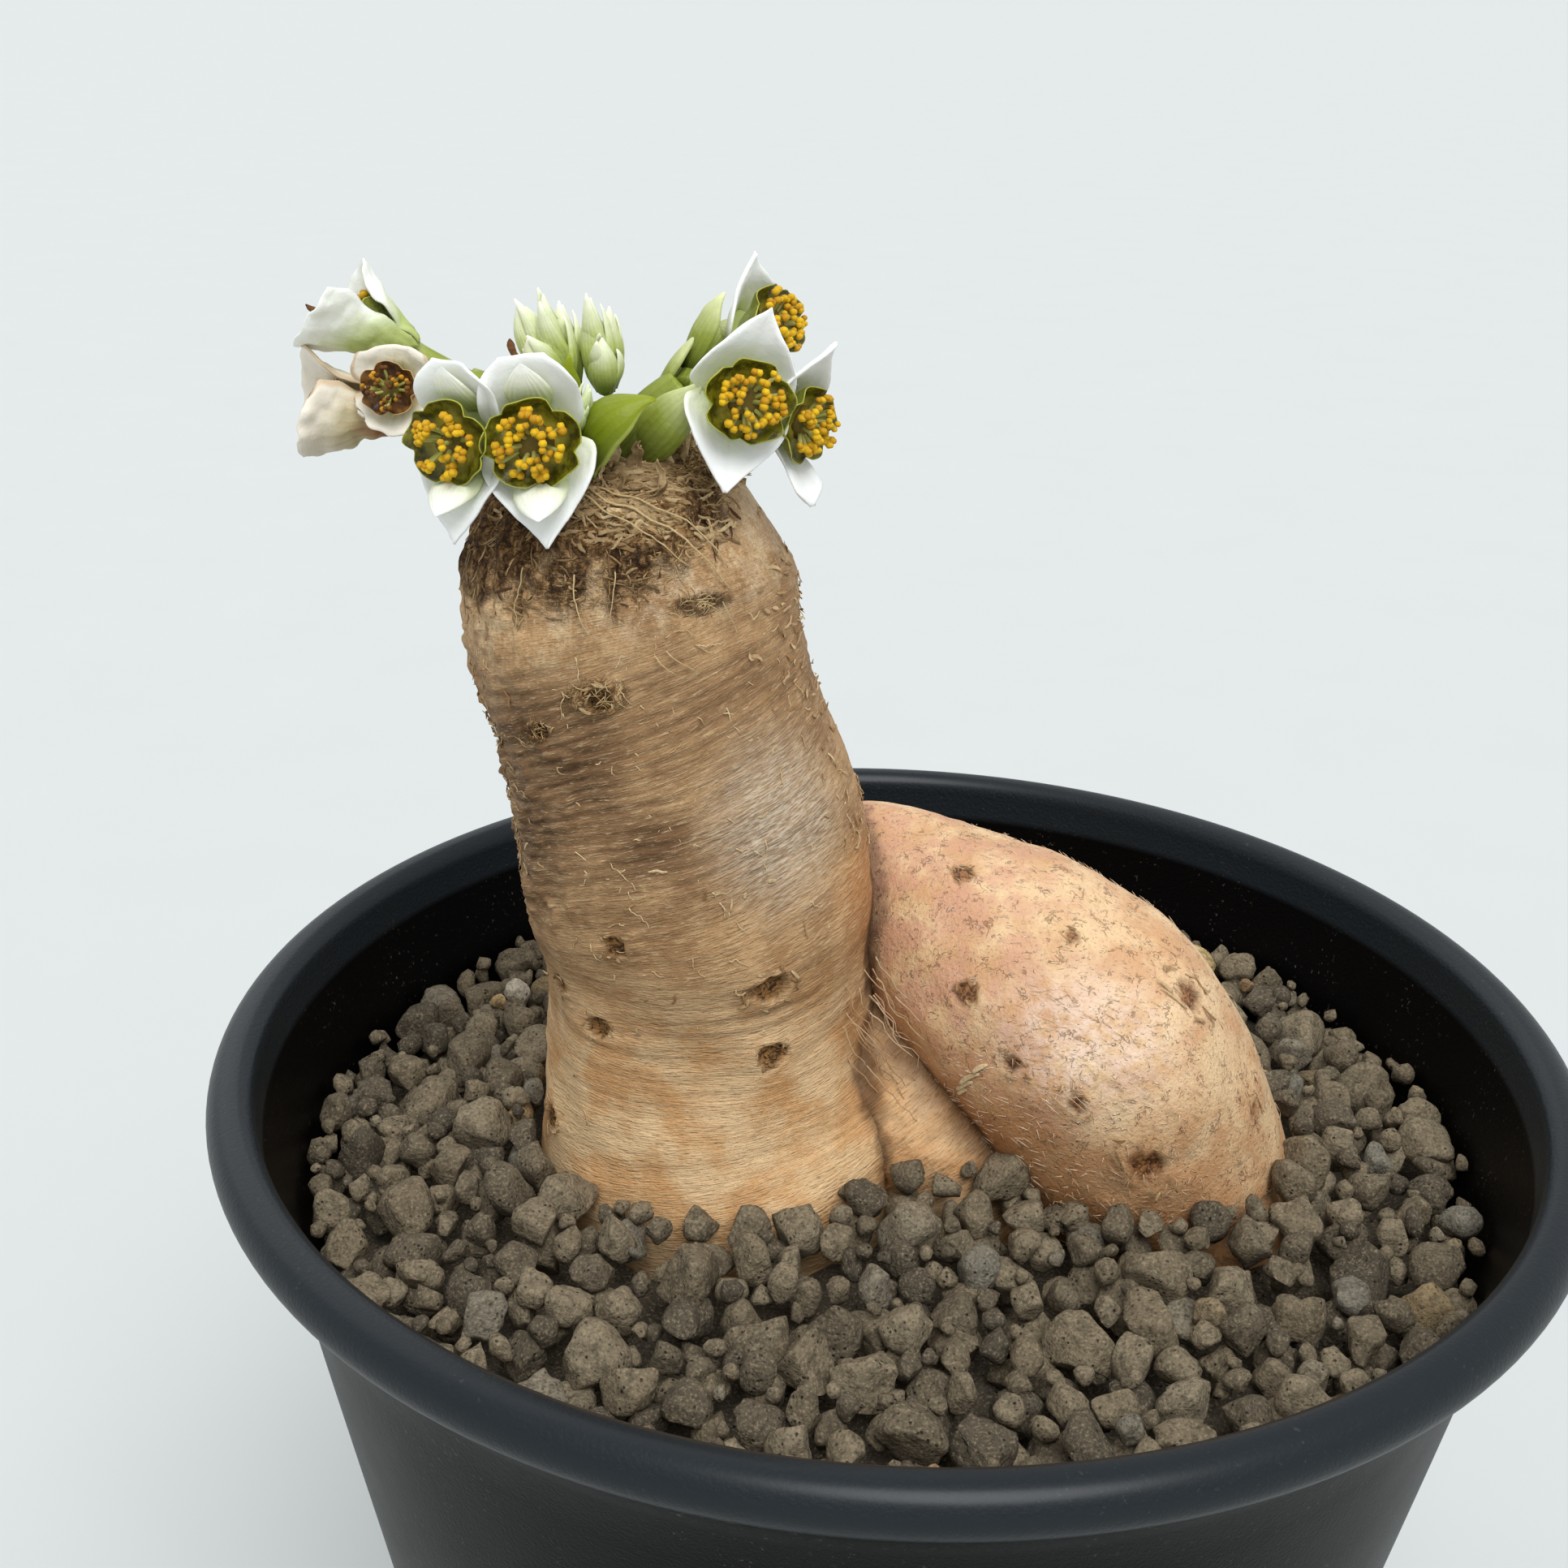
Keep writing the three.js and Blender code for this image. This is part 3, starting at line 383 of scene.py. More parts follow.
class Wire:
    """A socket in a material, so that shader maths reads as plain expressions"""

    def __init__(self, paint, socket):
        self.paint, self.socket = paint, socket

    def maths(self, operation, first, second):
        return self.paint.node("Math", {"operation": operation}, {0: first, 1: second})

    def __add__(self, other):
        return self.maths("ADD", self, other)

    def __sub__(self, other):
        return self.maths("SUBTRACT", self, other)

    def __rsub__(self, other):
        return self.maths("SUBTRACT", other, self)

    def __mul__(self, other):
        return self.maths("MULTIPLY", self, other)

    __radd__ = __add__
    __rmul__ = __mul__

    def step(self, low, high):
        """0 below low, 1 above high, and a smooth step between"""
        return self.paint.node("MapRange", {"interpolation_type": "SMOOTHSTEP"}, {0: self, 1: low, 2: high})


class Paint:
    """One material: a Principled shader, and what feeds it"""

    def __init__(self, name, **constants):
        self.material = bpy.data.materials.new(name)
        self.material.use_nodes = True
        self.tree = self.material.node_tree
        self.shader = self.tree.nodes["Principled BSDF"]
        for key, value in constants.items():
            self.shader.inputs[key.replace("_", " ")].default_value = value
        self.place = self.node("TexCoord", {}, {}, out="Object")
        self.axes = [self.node("SeparateXYZ", {}, {0: self.place}, out=k) * 1000 for k in range(3)]

    def node(self, kind, settings, sockets, out=0):
        node = self.tree.nodes.new("ShaderNode" + kind)
        for key, value in settings.items():
            if key == "stops":
                for spot, _ in value[1:-1]:
                    node.color_ramp.elements.new(spot)
                for element, (spot, colour) in zip(node.color_ramp.elements, value):
                    element.position, element.color = spot, rgb(colour)
            else:
                setattr(node, key, value)
        for key, value in sockets.items():
            self.feed(node.inputs[key], value)
        return Wire(self, node.outputs[out])

    def feed(self, socket, value):
        if isinstance(value, Wire):
            self.tree.links.new(value.socket, socket)
        else:
            socket.default_value = rgb(value) if isinstance(value, str) else value

    def tone(self, name):
        return self.node("Attribute", {"attribute_name": name}, {}, out="Fac")

    def noise_at(self, place, detail, twist=0.0):
        sockets = {"Vector": place, "Scale": 1.0, "Detail": detail, "Roughness": 0.6, "Distortion": twist}
        return self.node("TexNoise", {}, sockets, out="Fac")

    def grain(self, size, detail=3.0, stretch=(1, 1, 1), twist=0.0):
        """Noise with lumps of that size in millimetres, drawn out along an axis if asked"""
        x, y, z = (axis * (1 / (size * wide)) for axis, wide in zip(self.axes, stretch))
        place = self.node("CombineXYZ", {}, {0: x, 1: y, 2: z})
        return self.noise_at(place, detail, twist)

    def streak(self, level, length, width, detail=3.0, shift=0.0):
        """Noise that is long round a limb and thin along it, in millimetres"""
        x, y, _ = (axis * (1 / length) for axis in self.axes)
        place = self.node("CombineXYZ", {}, {0: x + shift, 1: y, 2: level * (1 / width)})
        return self.noise_at(place, detail)

    def pores(self, size):
        return self.node("TexVoronoi", {}, {"Vector": self.place, "Scale": 1 / (size * MM)}, out="Distance")

    def mix(self, factor, first, second):
        return self.node("Mix", {"data_type": "RGBA"}, {0: factor, 6: first, 7: second}, out=2)

    def ramp(self, value, *stops):
        return self.node("ValToRGB", {"stops": stops}, {0: value}, out="Color")

    def bump(self, height, depth, under=None):
        """A relief of that depth in millimetres"""
        sockets = {"Height": height, "Distance": depth * MM, "Strength": 1.0}
        if under:
            sockets["Normal"] = under
        return self.node("Bump", {}, sockets)

    def finish(self, **sockets):
        for key, value in sockets.items():
            self.feed(self.shader.inputs[key.replace("_", " ")], value)
        return self


def paint_plastic():
    """Black moulded plastic with a fine grain, dust inside, scuffs under the lip and a painted bluish sheen
    on the lip
    """
    paint = Paint("moulded_black_plastic", Specular_IOR_Level=0.07, Coat_Roughness=0.3)
    x, y, height = paint.axes
    outside = (x * x + y * y).step(3150, 3240)
    lip = height.step(97.3, 98.2)
    speckle = paint.grain(0.45, 2).step(0.64, 0.74)
    patches = paint.grain(8, 4)
    dust = speckle * patches.step(0.42, 0.62) * (0.5 - lip * 0.3)
    seam = outside * height.step(96.9, 97.2) * (1 - height.step(97.45, 97.8))
    scuffs = seam * paint.grain(1.2, 4).step(0.5, 0.64)
    # The lip's bluish grey is a painted sheen on the black plastic. The coat on the lip below is real gloss
    colour = paint.mix(lip, "#040303", "#151c21")
    colour = paint.mix(dust, colour, "#6b6457")
    colour = paint.mix(scuffs * 0.8, colour, "#8f9a9e")
    fine_relief = paint.bump(paint.grain(0.15, 1), 0.03)
    relief = paint.bump(paint.grain(0.36, 2) * (0.2 + lip * 0.8), 0.16, fine_relief)
    rough_here = 0.33 + lip * 0.1 + patches * 0.1 + scuffs * 0.2
    return paint.finish(Base_Color=colour, Roughness=rough_here, Coat_Weight=lip * 0.4, Normal=relief)


def paint_stone():
    """Porous volcanic grains, each of its own tone"""
    paint = Paint("volcanic_grit", Specular_IOR_Level=0.2)
    base = paint.ramp(
        paint.tone("own"), (0.0, "#564e42"), (0.25, "#6f6452"), (0.5, "#7f725c"), (0.78, "#8e816a"),
        (0.83, "#7d786c"), (0.86, "#9b8560"), (0.93, "#a98463"), (0.97, "#d9bd85"), (1.0, "#cfc9bd"))
    mottle = paint.grain(1.1, 5)
    colour = paint.mix(mottle.step(0.42, 0.68) * 0.55, base, "#474033")
    specks = paint.grain(0.26, 4)
    colour = paint.mix(specks.step(0.52, 0.68) * 0.42, colour, "#b5a588")
    colour = paint.mix((1 - specks).step(0.52, 0.66) * 0.55, colour, "#39332a")
    pits = 1 - paint.pores(0.55).step(0.05, 0.3)
    spread = paint.grain(1.8, 2).step(0.48, 0.62)
    colour = paint.mix(pits * spread * 0.8, colour, "#29231a")
    relief = paint.bump(1 - pits * spread, 0.25, paint.bump(paint.grain(0.5, 6), 0.45))
    return paint.finish(Base_Color=colour, Roughness=0.93 + mottle * 0.05, Normal=relief)


COLUMN_TONES = (
    "level", "band", "groove", "crown", "pit", "pale", "low", "shaggy", "cracked", "straw", "warm", "grime")


def paint_column():
    """Ringed bark with a torn crown, cracked and shaggy in places, and warm skin at its foot"""
    paint = Paint("ringed_bark", Specular_IOR_Level=0.25)
    level, band, groove, crown, pit, pale, low, shaggy, cracked, straw, warm, grime = (
        paint.tone(name) for name in COLUMN_TONES)
    fibres = paint.streak(level, 1.0, 0.13, 3)
    strokes = paint.streak(level, 1.9, 0.26, 4, 7)
    fine_lines = paint.streak(level, 13, 0.42, 2, 5)
    blotches = paint.grain(5, 5)
    # Above the rings the skin is mottled and finely speckled, with few streaks
    upper = level.step(69, 76)
    streaky = 1 - upper * 0.75
    speckle = paint.grain(0.32, 4)
    # The ground colours, from the pale upper skin to the warm foot
    colour = paint.mix(blotches.step(0.38, 0.62), "#a17c55", "#c19b6e")
    colour = paint.mix(paint.grain(2.6, 5).step(0.46, 0.62) * upper * 0.55, colour, "#d9bf98")
    colour = paint.mix(low, colour, paint.mix(blotches.step(0.36, 0.6), "#d6a46e", "#e8c596"))
    colour = paint.mix(warm, colour, "#bd7c45")
    colour = paint.mix(band * 0.85, colour, "#6b4e33")
    # Streaks, rings and speckles
    colour = paint.mix(strokes.step(0.5, 0.7) * streaky * 0.32, colour, "#d8bb92")
    colour = paint.mix(fine_lines.step(0.5, 0.62) * streaky * (band * 0.45 + 0.14), colour, "#6b4e33")
    colour = paint.mix(groove * 0.75, colour, "#4f361f")
    colour = paint.mix(fibres.step(0.56, 0.68) * streaky * 0.42, colour, "#e3cca2")
    colour = paint.mix((1 - fibres).step(0.56, 0.68) * streaky * 0.42, colour, "#6e5035")
    colour = paint.mix(speckle.step(0.52, 0.66) * upper * 0.45, colour, "#87633f")
    colour = paint.mix((1 - speckle).step(0.54, 0.66) * upper * 0.4, colour, "#e6d0ab")
    colour = paint.mix(pale * (0.25 + 0.6 * fibres.step(0.42, 0.58)) * 0.75, colour, "#d6c8b2")
    # The torn crown
    torn = paint.grain(0.75, 6, stretch=(1, 1, 2.2), twist=1.0)
    shade = torn - shaggy * 0.12 + straw * 0.1
    bark = paint.ramp(
        shade, (0.28, "#3a2613"), (0.4, "#7d5a35"), (0.5, "#a68052"), (0.62, "#c7a473"), (0.76, "#e0c898"))
    bends = paint.grain(1.3, 4, stretch=(1, 1, 0.6), twist=1.4) - 0.5
    creases = 1 - (bends * bends).step(0.0, 0.0016)
    bark = paint.mix(creases * 0.6, bark, "#442d18")
    bricks = paint.streak(level, 1.5, 0.42, 2, 11)
    bark = paint.mix(cracked * bricks.step(0.46, 0.56) * 0.85, bark, "#4a3420")
    colour = paint.mix(crown, colour, bark)
    # The pits of the leaf scars, stray specks, and painted shade in the joins
    inside = paint.grain(0.55, 5, twist=1.5).step(0.4, 0.6)
    colour = paint.mix(pit, colour, paint.mix(inside, "#3a2715", "#946b3c"))
    colour = paint.mix(paint.grain(0.3, 2).step(0.66, 0.76) * 0.35 * (1 - crown), colour, "#6d4c30")
    colour = paint.mix(grime * 0.75, colour, "#523722")
    skin_relief = paint.bump(fibres + strokes * 0.6, 0.2, paint.bump(paint.grain(0.5, 4), 0.12))
    relief = paint.bump((torn - creases * 0.35) * crown - bricks * cracked * 0.5, 1.0, skin_relief)
    return paint.finish(Base_Color=colour, Roughness=0.62 + crown * 0.2 + fibres * 0.14, Normal=relief)


def paint_tuber():
    """The tuber's thin skin: pinkish tan, finely wrinkled, darker and warmer towards its foot, with a
    painted highlight on its upper right and painted shade in its joins
    """
    paint = Paint("tuber_skin", Specular_IOR_Level=0.4, Coat_Roughness=0.42)
    pit, low, pink, shine, grime = (paint.tone(n) for n in ("pit", "low", "pink", "shine", "grime"))
    blotches = paint.grain(5, 5)
    colour = paint.mix(blotches.step(0.38, 0.62), "#cd9f72", "#e3c397")
    colour = paint.mix(pink * paint.grain(3, 4).step(0.38, 0.64) * 0.8, colour, "#cd9a7e")
    colour = paint.mix(low * (0.6 + blotches * 0.5), colour, "#bb7b42")
    # A painted highlight: a pale spot on the upper right, whose mask also sets a little real coat
    colour = paint.mix(shine * paint.grain(1.2, 4).step(0.35, 0.6) * 0.6, colour, "#eed6c6")
    bends = paint.grain(1.2, 3, twist=0.8) - 0.5
    wrinkles = (1 - (bends * bends).step(0.0, 0.0006)) * paint.grain(1.4, 2).step(0.54, 0.62)
    colour = paint.mix(wrinkles * (0.55 - low * 0.3), colour, "#96694d")
    dashes = paint.grain(0.2, 2, stretch=(3.5, 1, 2.4)).step(0.62, 0.72)
    colour = paint.mix(dashes * 0.5, colour, "#f2dcbf")
    freckles = paint.grain(0.24, 2).step(0.56, 0.7)
    colour = paint.mix(freckles * 0.4, colour, "#9a6c46")
    inside = paint.grain(0.5, 5, twist=1.5).step(0.4, 0.6)
    colour = paint.mix(pit, colour, paint.mix(inside, "#4a2d18", "#9a6a40"))
    # Painted shade where the tuber meets the column and the web
    colour = paint.mix(grime * 0.7, colour, "#5f3f2a")
    relief = paint.bump(dashes - wrinkles, 0.1, paint.bump(paint.grain(0.4, 4), 0.16))
    return paint.finish(
        Base_Color=colour, Roughness=0.46 + blotches * 0.14, Coat_Weight=shine * 0.25, Normal=relief)


def paint_shred(name, dark, light):
    """Dry torn fibres and papers, each of its own tone from dark to light"""
    paint = Paint(name, Specular_IOR_Level=0.25)
    colour = paint.mix(paint.tone("own"), dark, light)
    fibre = paint.grain(0.25, 4)
    colour = paint.mix(fibre.step(0.4, 0.7) * 0.4, colour, dark)
    return paint.finish(Base_Color=colour, Roughness=0.8 + fibre * 0.1, Normal=paint.bump(fibre, 0.08))


def paint_living(name, root, middle, tip, gloss=0.45, veins=0.25, rim=None):
    """Living tissue that shades from root to tip, with faint veins and a paler rim if asked"""
    paint = Paint(name, Specular_IOR_Level=0.3, Subsurface_Weight=0.12, Subsurface_Scale=0.0012)
    paint.shader.inputs["Subsurface Radius"].default_value = (1.0, 0.8, 0.4)
    u, v = paint.tone("along"), paint.tone("across")
    mottle = paint.grain(1.4, 4)
    colour = paint.ramp(u + (mottle - 0.5) * 0.3, (0.02, root), (0.5, middle), (0.98, tip))
    stripes = paint.node("Math", {"operation": "SINE"}, {0: v * 26 + mottle * 4})
    colour = paint.mix(stripes.step(0.2, 1.0) * veins * (1 - u), colour, root)
    if rim:
        colour = paint.mix((v * v).step(0.72, 0.9) * 0.8, colour, rim)
    relief = paint.bump(stripes * (1 - u) * 0.4 + paint.grain(0.5, 3), 0.06)
    return paint.finish(Base_Color=colour, Roughness=gloss + mottle * 0.12, Normal=relief)


def paint_gland(name, dark, light, middle, rim):
    """The wet-looking glands with a paler edge, over a pale green cup"""
    paint = Paint(name, Specular_IOR_Level=0.35, Coat_Roughness=0.15)
    u = paint.tone("along")
    mottle = paint.grain(0.8, 4)
    colour = paint.mix(mottle.step(0.38, 0.64), dark, light)
    colour = paint.mix(1 - u.step(0.12, 0.24), colour, middle)
    colour = paint.mix(u.step(0.36, 0.42) * (1 - u.step(0.46, 0.52)), colour, rim)
    colour = paint.mix(u.step(0.5, 0.56), colour, paint.mix(u.step(0.55, 1), "#767b26", "#bcc68a"))
    wet = 1 - u.step(0.46, 0.56)
    relief = paint.bump(mottle, 0.15)
    return paint.finish(
        Base_Color=colour, Roughness=0.5 - wet * 0.14, Coat_Weight=wet * 0.15, Normal=relief)


def paint_anther(name, dark, light):
    """Powdery knobs on pale green stalks, over a brown middle"""
    paint = Paint(name, Specular_IOR_Level=0.3)
    own, head = paint.tone("own"), paint.tone("head")
    pollen = paint.mix(own, dark, light)
    pollen = paint.mix(paint.grain(0.3, 3).step(0.5, 0.75) * 0.4, pollen, "#97690f")
    colour = paint.mix(head.step(0.4, 0.6), paint.mix(own, "#97994a", "#b9b568"), pollen)
    colour = paint.mix(1 - head.step(-0.6, -0.4), colour, "#6b5a22")
    relief = paint.bump(paint.grain(0.15, 2), 0.04)
    return paint.finish(Base_Color=colour, Roughness=0.62 + own * 0.1, Normal=relief)


# The pot

def wall_radius(z):
    return float(np.interp(z, [h for h, _ in POT_WALL], [r for _, r in POT_WALL]))


def lathe(profile, sides):
    """A shape turned from a profile of [radius, height]"""
    turn = 2 * np.pi * np.arange(sides) / sides
    radius, height = np.hsplit(np.asarray(profile, float), 2)
    return skin(np.stack([radius * np.cos(turn), radius * np.sin(turn), height + 0 * turn], -1))


def pot_profile():
    """The pot's section, from under its floor over the lip to the floor inside"""
    foot = [(0.4, 0), (20, 0), (34, 0), (37.2, 0), (38, 0.3), (38.45, 1.1)]
    outside = [(wall_radius(z), z) for z in np.linspace(3, 97.2, 24)]
    turn = np.radians(np.linspace(-70, 105, 24))
    roll = [(LIP_CENTRE[0] + LIP_RADIUS * np.cos(a), LIP_CENTRE[1] + LIP_RADIUS * np.sin(a)) for a in turn]
    crease = [(56.75, 102.05), LIP_CREASE, (56.05, 101.2), (55.9, 100.6)]
    inside = [(wall_radius(z) - WALL_THICKNESS + 0.12 * float(smooth(90, 100, z)), z)
              for z in np.linspace(96.8, 3.2, 22)]
    floor = [(r, FLOOR_THICKNESS) for r in (wall_radius(3) - WALL_THICKNESS - 0.8, 20, 0.4)]
    return foot + outside + roll + crease + inside + floor


def drain_plugs(paint):
    """The ring of rods that cut the drain holes"""
    cutter = Piece("drain_cutter", paint, [], "pot_plastic")
    for k in range(DRAIN_HOLES):
        angle = 2 * math.pi * k / DRAIN_HOLES
        x, y = DRAIN_CIRCLE_RADIUS * math.cos(angle), DRAIN_CIRCLE_RADIUS * math.sin(angle)
        plug, faces = lathe([(DRAIN_HOLE_RADIUS, -3), (DRAIN_HOLE_RADIUS, 3 * FLOOR_THICKNESS)], 32)
        cutter.add((plug + (x, y, 0), faces))
    return cutter.make()


def make_pot():
    piece = Piece("pot_shell", paint_plastic(), ["pot"], "pot_plastic")
    piece.add(lathe(pot_profile(), POT_SIDES))
    shell = piece.make()
    plugs = drain_plugs(piece.paint)
    cut = shell.modifiers.new("drain holes", "BOOLEAN")
    cut.operation, cut.solver, cut.object = "DIFFERENCE", "EXACT", plugs
    bpy.context.view_layer.update()
    shell.data = bpy.data.meshes.new_from_object(shell.evaluated_get(bpy.context.evaluated_depsgraph_get()))
    shell.modifiers.clear()
    bpy.data.objects.remove(plugs)


# The gravel

# The layers of grains: how deep they lie, how far they keep off the wall as a share of their size, and
# the grains from large to small as [least size, greatest size, tries]
LOWER_LAYER = (2.2, 0.6, [(1.7, 2.6, 2600), (1.0, 1.7, 3600)])
UPPER_LAYER = (0, 0.9, [(2.5, 3.3, 150), (1.7, 2.5, 2600), (1.2, 1.7, 4200), (0.65, 1.2, 9000)])
GRAVEL_REACH = 54.6
BED_Z = 85.4
# In front of these lines the grains are larger in view, and are made with more faces
NEAR_Y, MIDDLE_Y = -22, -14


def gravel_height(x, y):
    height = GRAVEL_Z
    for heap_x, heap_y, distance, width, rise in HEAPS:
        away = (math.hypot(x - heap_x, y - heap_y) - distance) / width
        height += rise * math.exp(-away * away)
    return height


def depth_in(knots, points):
    """How far points stand off a limb; less than 0 is inside it"""
    rows = along(knots, np.linspace(0, 1, 60))
    off = np.linalg.norm(points[:, None] - rows[None, :, :3], axis=-1) - rows[:, 3]
    return off.min(axis=1)


def stone_shape(draw, size, subdivisions):
    """A lumpy grain with worn flats"""
    points, faces = BALLS[subdivisions]
    points = points * (1, draw.uniform(0.68, 1.0), draw.uniform(0.6, 0.9))
    for _ in range(10):
        way = unit(draw.normal(size=3))
        over = points @ way - draw.uniform(0.42, 0.8)
        points = points - np.maximum(over, 0)[:, None] * way * 0.93
    shift = draw.uniform(-50, 50, 3)
    lumps = 0.14 * noise(points + shift, 0.85) + 0.09 * noise(points + shift, 0.4, 1)
    lumps = 1 + lumps + 0.05 * noise(points + shift, 0.2, 2)
    points = points * lumps[:, None] * size
    a, b, c = draw.uniform(0, 2 * math.pi, 3)
    turn = np.array(Matrix.Rotation(a, 3, "X") @ Matrix.Rotation(b, 3, "Y") @ Matrix.Rotation(c, 3, "Z"))
    return points @ turn.T, faces


def spread_stones(draw, depth, off_wall, sizes):
    """Packs grains side by side over the pot, as rows of [x, y, z, size]"""
    placed = np.zeros((0, 4))
    for low, high, tries in sizes:
        for _ in range(tries):
            size = draw.uniform(low, high)
            reach, turn = GRAVEL_REACH * math.sqrt(draw.uniform()), draw.uniform(0, 2 * math.pi)
            x, y = reach * math.cos(turn), reach * math.sin(turn)
            away = np.hypot(placed[:, 0] - x, placed[:, 1] - y)
            if np.any(away < 0.84 * (size + placed[:, 3])):
                continue
            z = gravel_height(x, y) + 0.8 - depth - 0.75 * size + draw.uniform(-0.7, 0.6)
            if reach + off_wall * size > wall_radius(z) - WALL_THICKNESS:
                continue
            spot = np.array([[x, y, z]])
            if min(depth_in(knots, spot)[0] for knots in (COLUMN, TUBER, WEB)) < 0.6 * size:
                continue
            placed = np.vstack([placed, (x, y, z, size)])
    return placed


def settle(upper, lower):
    """Lowers the upper grains onto the lower ones, and leaves out small ones with nothing under them"""
    resting = np.ones(len(upper), bool)
    for n, (x, y, z, size) in enumerate(upper):
        span = 0.86 * (size + lower[:, 3])
        gap = span ** 2 - (lower[:, 0] - x) ** 2 - (lower[:, 1] - y) ** 2
        rest = (lower[:, 2] + np.sqrt(np.maximum(gap, 0)))[gap > 0].max(initial=-1e9)
        resting[n] = rest > z - 2.2 or size > 1.5
        most = 1.4 if size > 1.2 else 0.9
        upper[n, 2] = min(z, max(rest, z - most))
    return upper[resting]


def drop_stones(draw):
    """The grains of both layers that show"""
    lower = spread_stones(draw, *LOWER_LAYER)
    upper = settle(spread_stones(draw, *UPPER_LAYER), lower)
    stones = np.vstack([lower, upper])
    return stones[shows_from_above(stones)]


def shows_from_above(stones, step=0.45):
    """Which stones are the highest over some cell of a fine grid"""
    span = np.arange(-56, 56, step)
    x, y = np.meshgrid(span, span)
    best, owner = np.full(x.shape, -1e9), np.full(x.shape, -1)
    for n, (sx, sy, sz, size) in enumerate(stones):
        gap = size ** 2 - (x - sx) ** 2 - (y - sy) ** 2
        top = np.where(gap > 0, sz + np.sqrt(np.maximum(gap, 0)), -1e9)
        higher = top > best
        best[higher], owner[higher] = top[higher], n
    return np.bincount(owner[owner >= 0], minlength=len(stones)) > 1


def make_bed(paint):
    """The dark body of fine grit under the grains"""
    bed = Piece("gravel_bed", paint, ["gravel"], "gravel")
    turn = 2 * np.pi * np.arange(96) / 96
    wall = [(wall_radius(z) - WALL_THICKNESS - 0.5, z) for z in (2.6, 20, 40, 60, 75, 84.8)]
    top = [(r, BED_Z) for r in np.linspace(50, 2, 18)]
    rows = np.stack([[(r * math.cos(a), r * math.sin(a), z) for a in turn] for r, z in wall + top])
    rows[len(wall):, :, 2] += 1.2 * rough(rows[len(wall):], 4)
    bed.add(skin(rows), own=0)
    bed.make()


def make_gravel():
    paint = paint_stone()
    make_bed(paint)
    draw = np.random.default_rng(7)
    sides = ("front_left", "front_right", "back")
    front_left, front_right, back = (Piece(f"gravel_{side}", paint, ["gravel"], "gravel") for side in sides)
    for x, y, z, size in drop_stones(draw):
        near = y < NEAR_Y and size > 2.1
        plain = size < (1.3 if y < MIDDLE_Y else 1.65)
        shape, faces = stone_shape(draw, size * 1.12, 4 if near else 2 if plain else 3)
        own = draw.uniform(0, 0.86) if draw.uniform() < 0.985 else draw.uniform(0.86, 1)
        piece = back if y >= MIDDLE_Y else front_right if x > 4 else front_left
        piece.add((shape + (x, y, z), faces), own=own)
    for piece in (front_left, front_right, back):
        piece.make()


# The caudex

COLUMN_LENGTH = 96.0
TUBER_LENGTH = 62.0
RING_SPACING = 1.2
# Where the torn crown begins, as the distance along the column at each angle
CROWN_ANGLES = [0, 60, 120, 180, 207, 240, 265, 286, 302, 317, 342, 360]
CROWN_STARTS = [0.93, 0.88, 0.83, 0.79, 0.787, 0.79, 0.79, 0.807, 0.835, 0.865, 0.905, 0.93]
# Patches of the crown, as [distance along, angle, half height, half width]
# The thin, wide shaggy patch at 0.853 and 262 degrees is dark matted fibre with painted shade under the
# papery layers above it
SHAGGY = [
    (0.85, 214, 6, 8), (0.812, 214, 4, 5), (0.84, 236, 4, 4.5), (0.853, 262, 1.4, 9),
    (0.885, 319, 4.4, 3.4), (0.795, 304, 1.7, 2.6), (0.698, 237, 1.2, 2), (0.85, 170, 5, 8),
    (0.86, 110, 6, 12), (0.88, 40, 4, 8)]
CRACKED = [(0.82, 256, 2.8, 2.6), (0.826, 283, 2.9, 3.4), (0.84, 150, 3, 5), (0.85, 80, 3, 5)]
STRAW = [(0.955, 285, 6, 11), (0.885, 272, 3, 7), (0.8, 241, 2, 1), (0.95, 120, 6, 14)]
FUZZY = [(0.722, 265, 1.5, 2.5), (0.795, 304, 1.5, 2.6), (0.697, 237, 1.1, 1.9), (0.65, 90, 1.5, 2.5)]
# Clefts that run down from the crown, as [angle, lowest, highest]
CLEFTS = [
    (241, 0.785, 0.835), (262.5, 0.79, 0.83), (275, 0.785, 0.84), (60, 0.84, 0.9), (130, 0.8, 0.86),
    (190, 0.78, 0.83)]
# Threads on the crown, as [distance along, angle, heading, length, bend, radius]
LONG_THREADS = [
    (0.905, 258, -0.35, 14, -0.7, 0.12), (0.91, 260, -0.2, 12.5, -0.9, 0.1),
    (0.9, 256, -0.5, 10, -0.3, 0.09)]
HANGING_THREADS = [
    (0.828, 261, -1.6, 5.2, 0.5, 0.07), (0.832, 274, -1.55, 4.2, -0.2, 0.06),
    (0.825, 241, -1.5, 4.4, -0.2, 0.06), (0.75, 286, -1.2, 2.6, 0.3, 0.06),
    (0.752, 290, -1.1, 3, 0.3, 0.06), (0.79, 312, -1.5, 4, 0.2, 0.05)]
# Flakes on the column, as [angle, spread, lowest, highest, how many]
LOOSE_FLAKES = [
    (190, 13, 0.52, 0.76, 170), (352, 12, 0.5, 0.82, 80), (90, 60, 0.4, 0.8, 70), (270, 45, 0.3, 0.75, 30)]


def swell(knots, points):
    """The gentle unevenness of a limb's skin"""
    seed = 1 if knots is COLUMN else 31
    return 0.4 * noise(points, 8, seed) + 0.15 * noise(points, 2.8, seed + 1)


def in_joint(rows, *others, reach=1.6):
    """How near places are to the other limbs, where shade is painted into the joins"""
    points = rows.reshape(-1, 3)
    away = np.min([depth_in(knots, points) for knots in others], axis=0)
    return smooth(reach, 0.1, away + 0.5 * rough(points, 1.2, 3, 26)).reshape(rows.shape[:2])


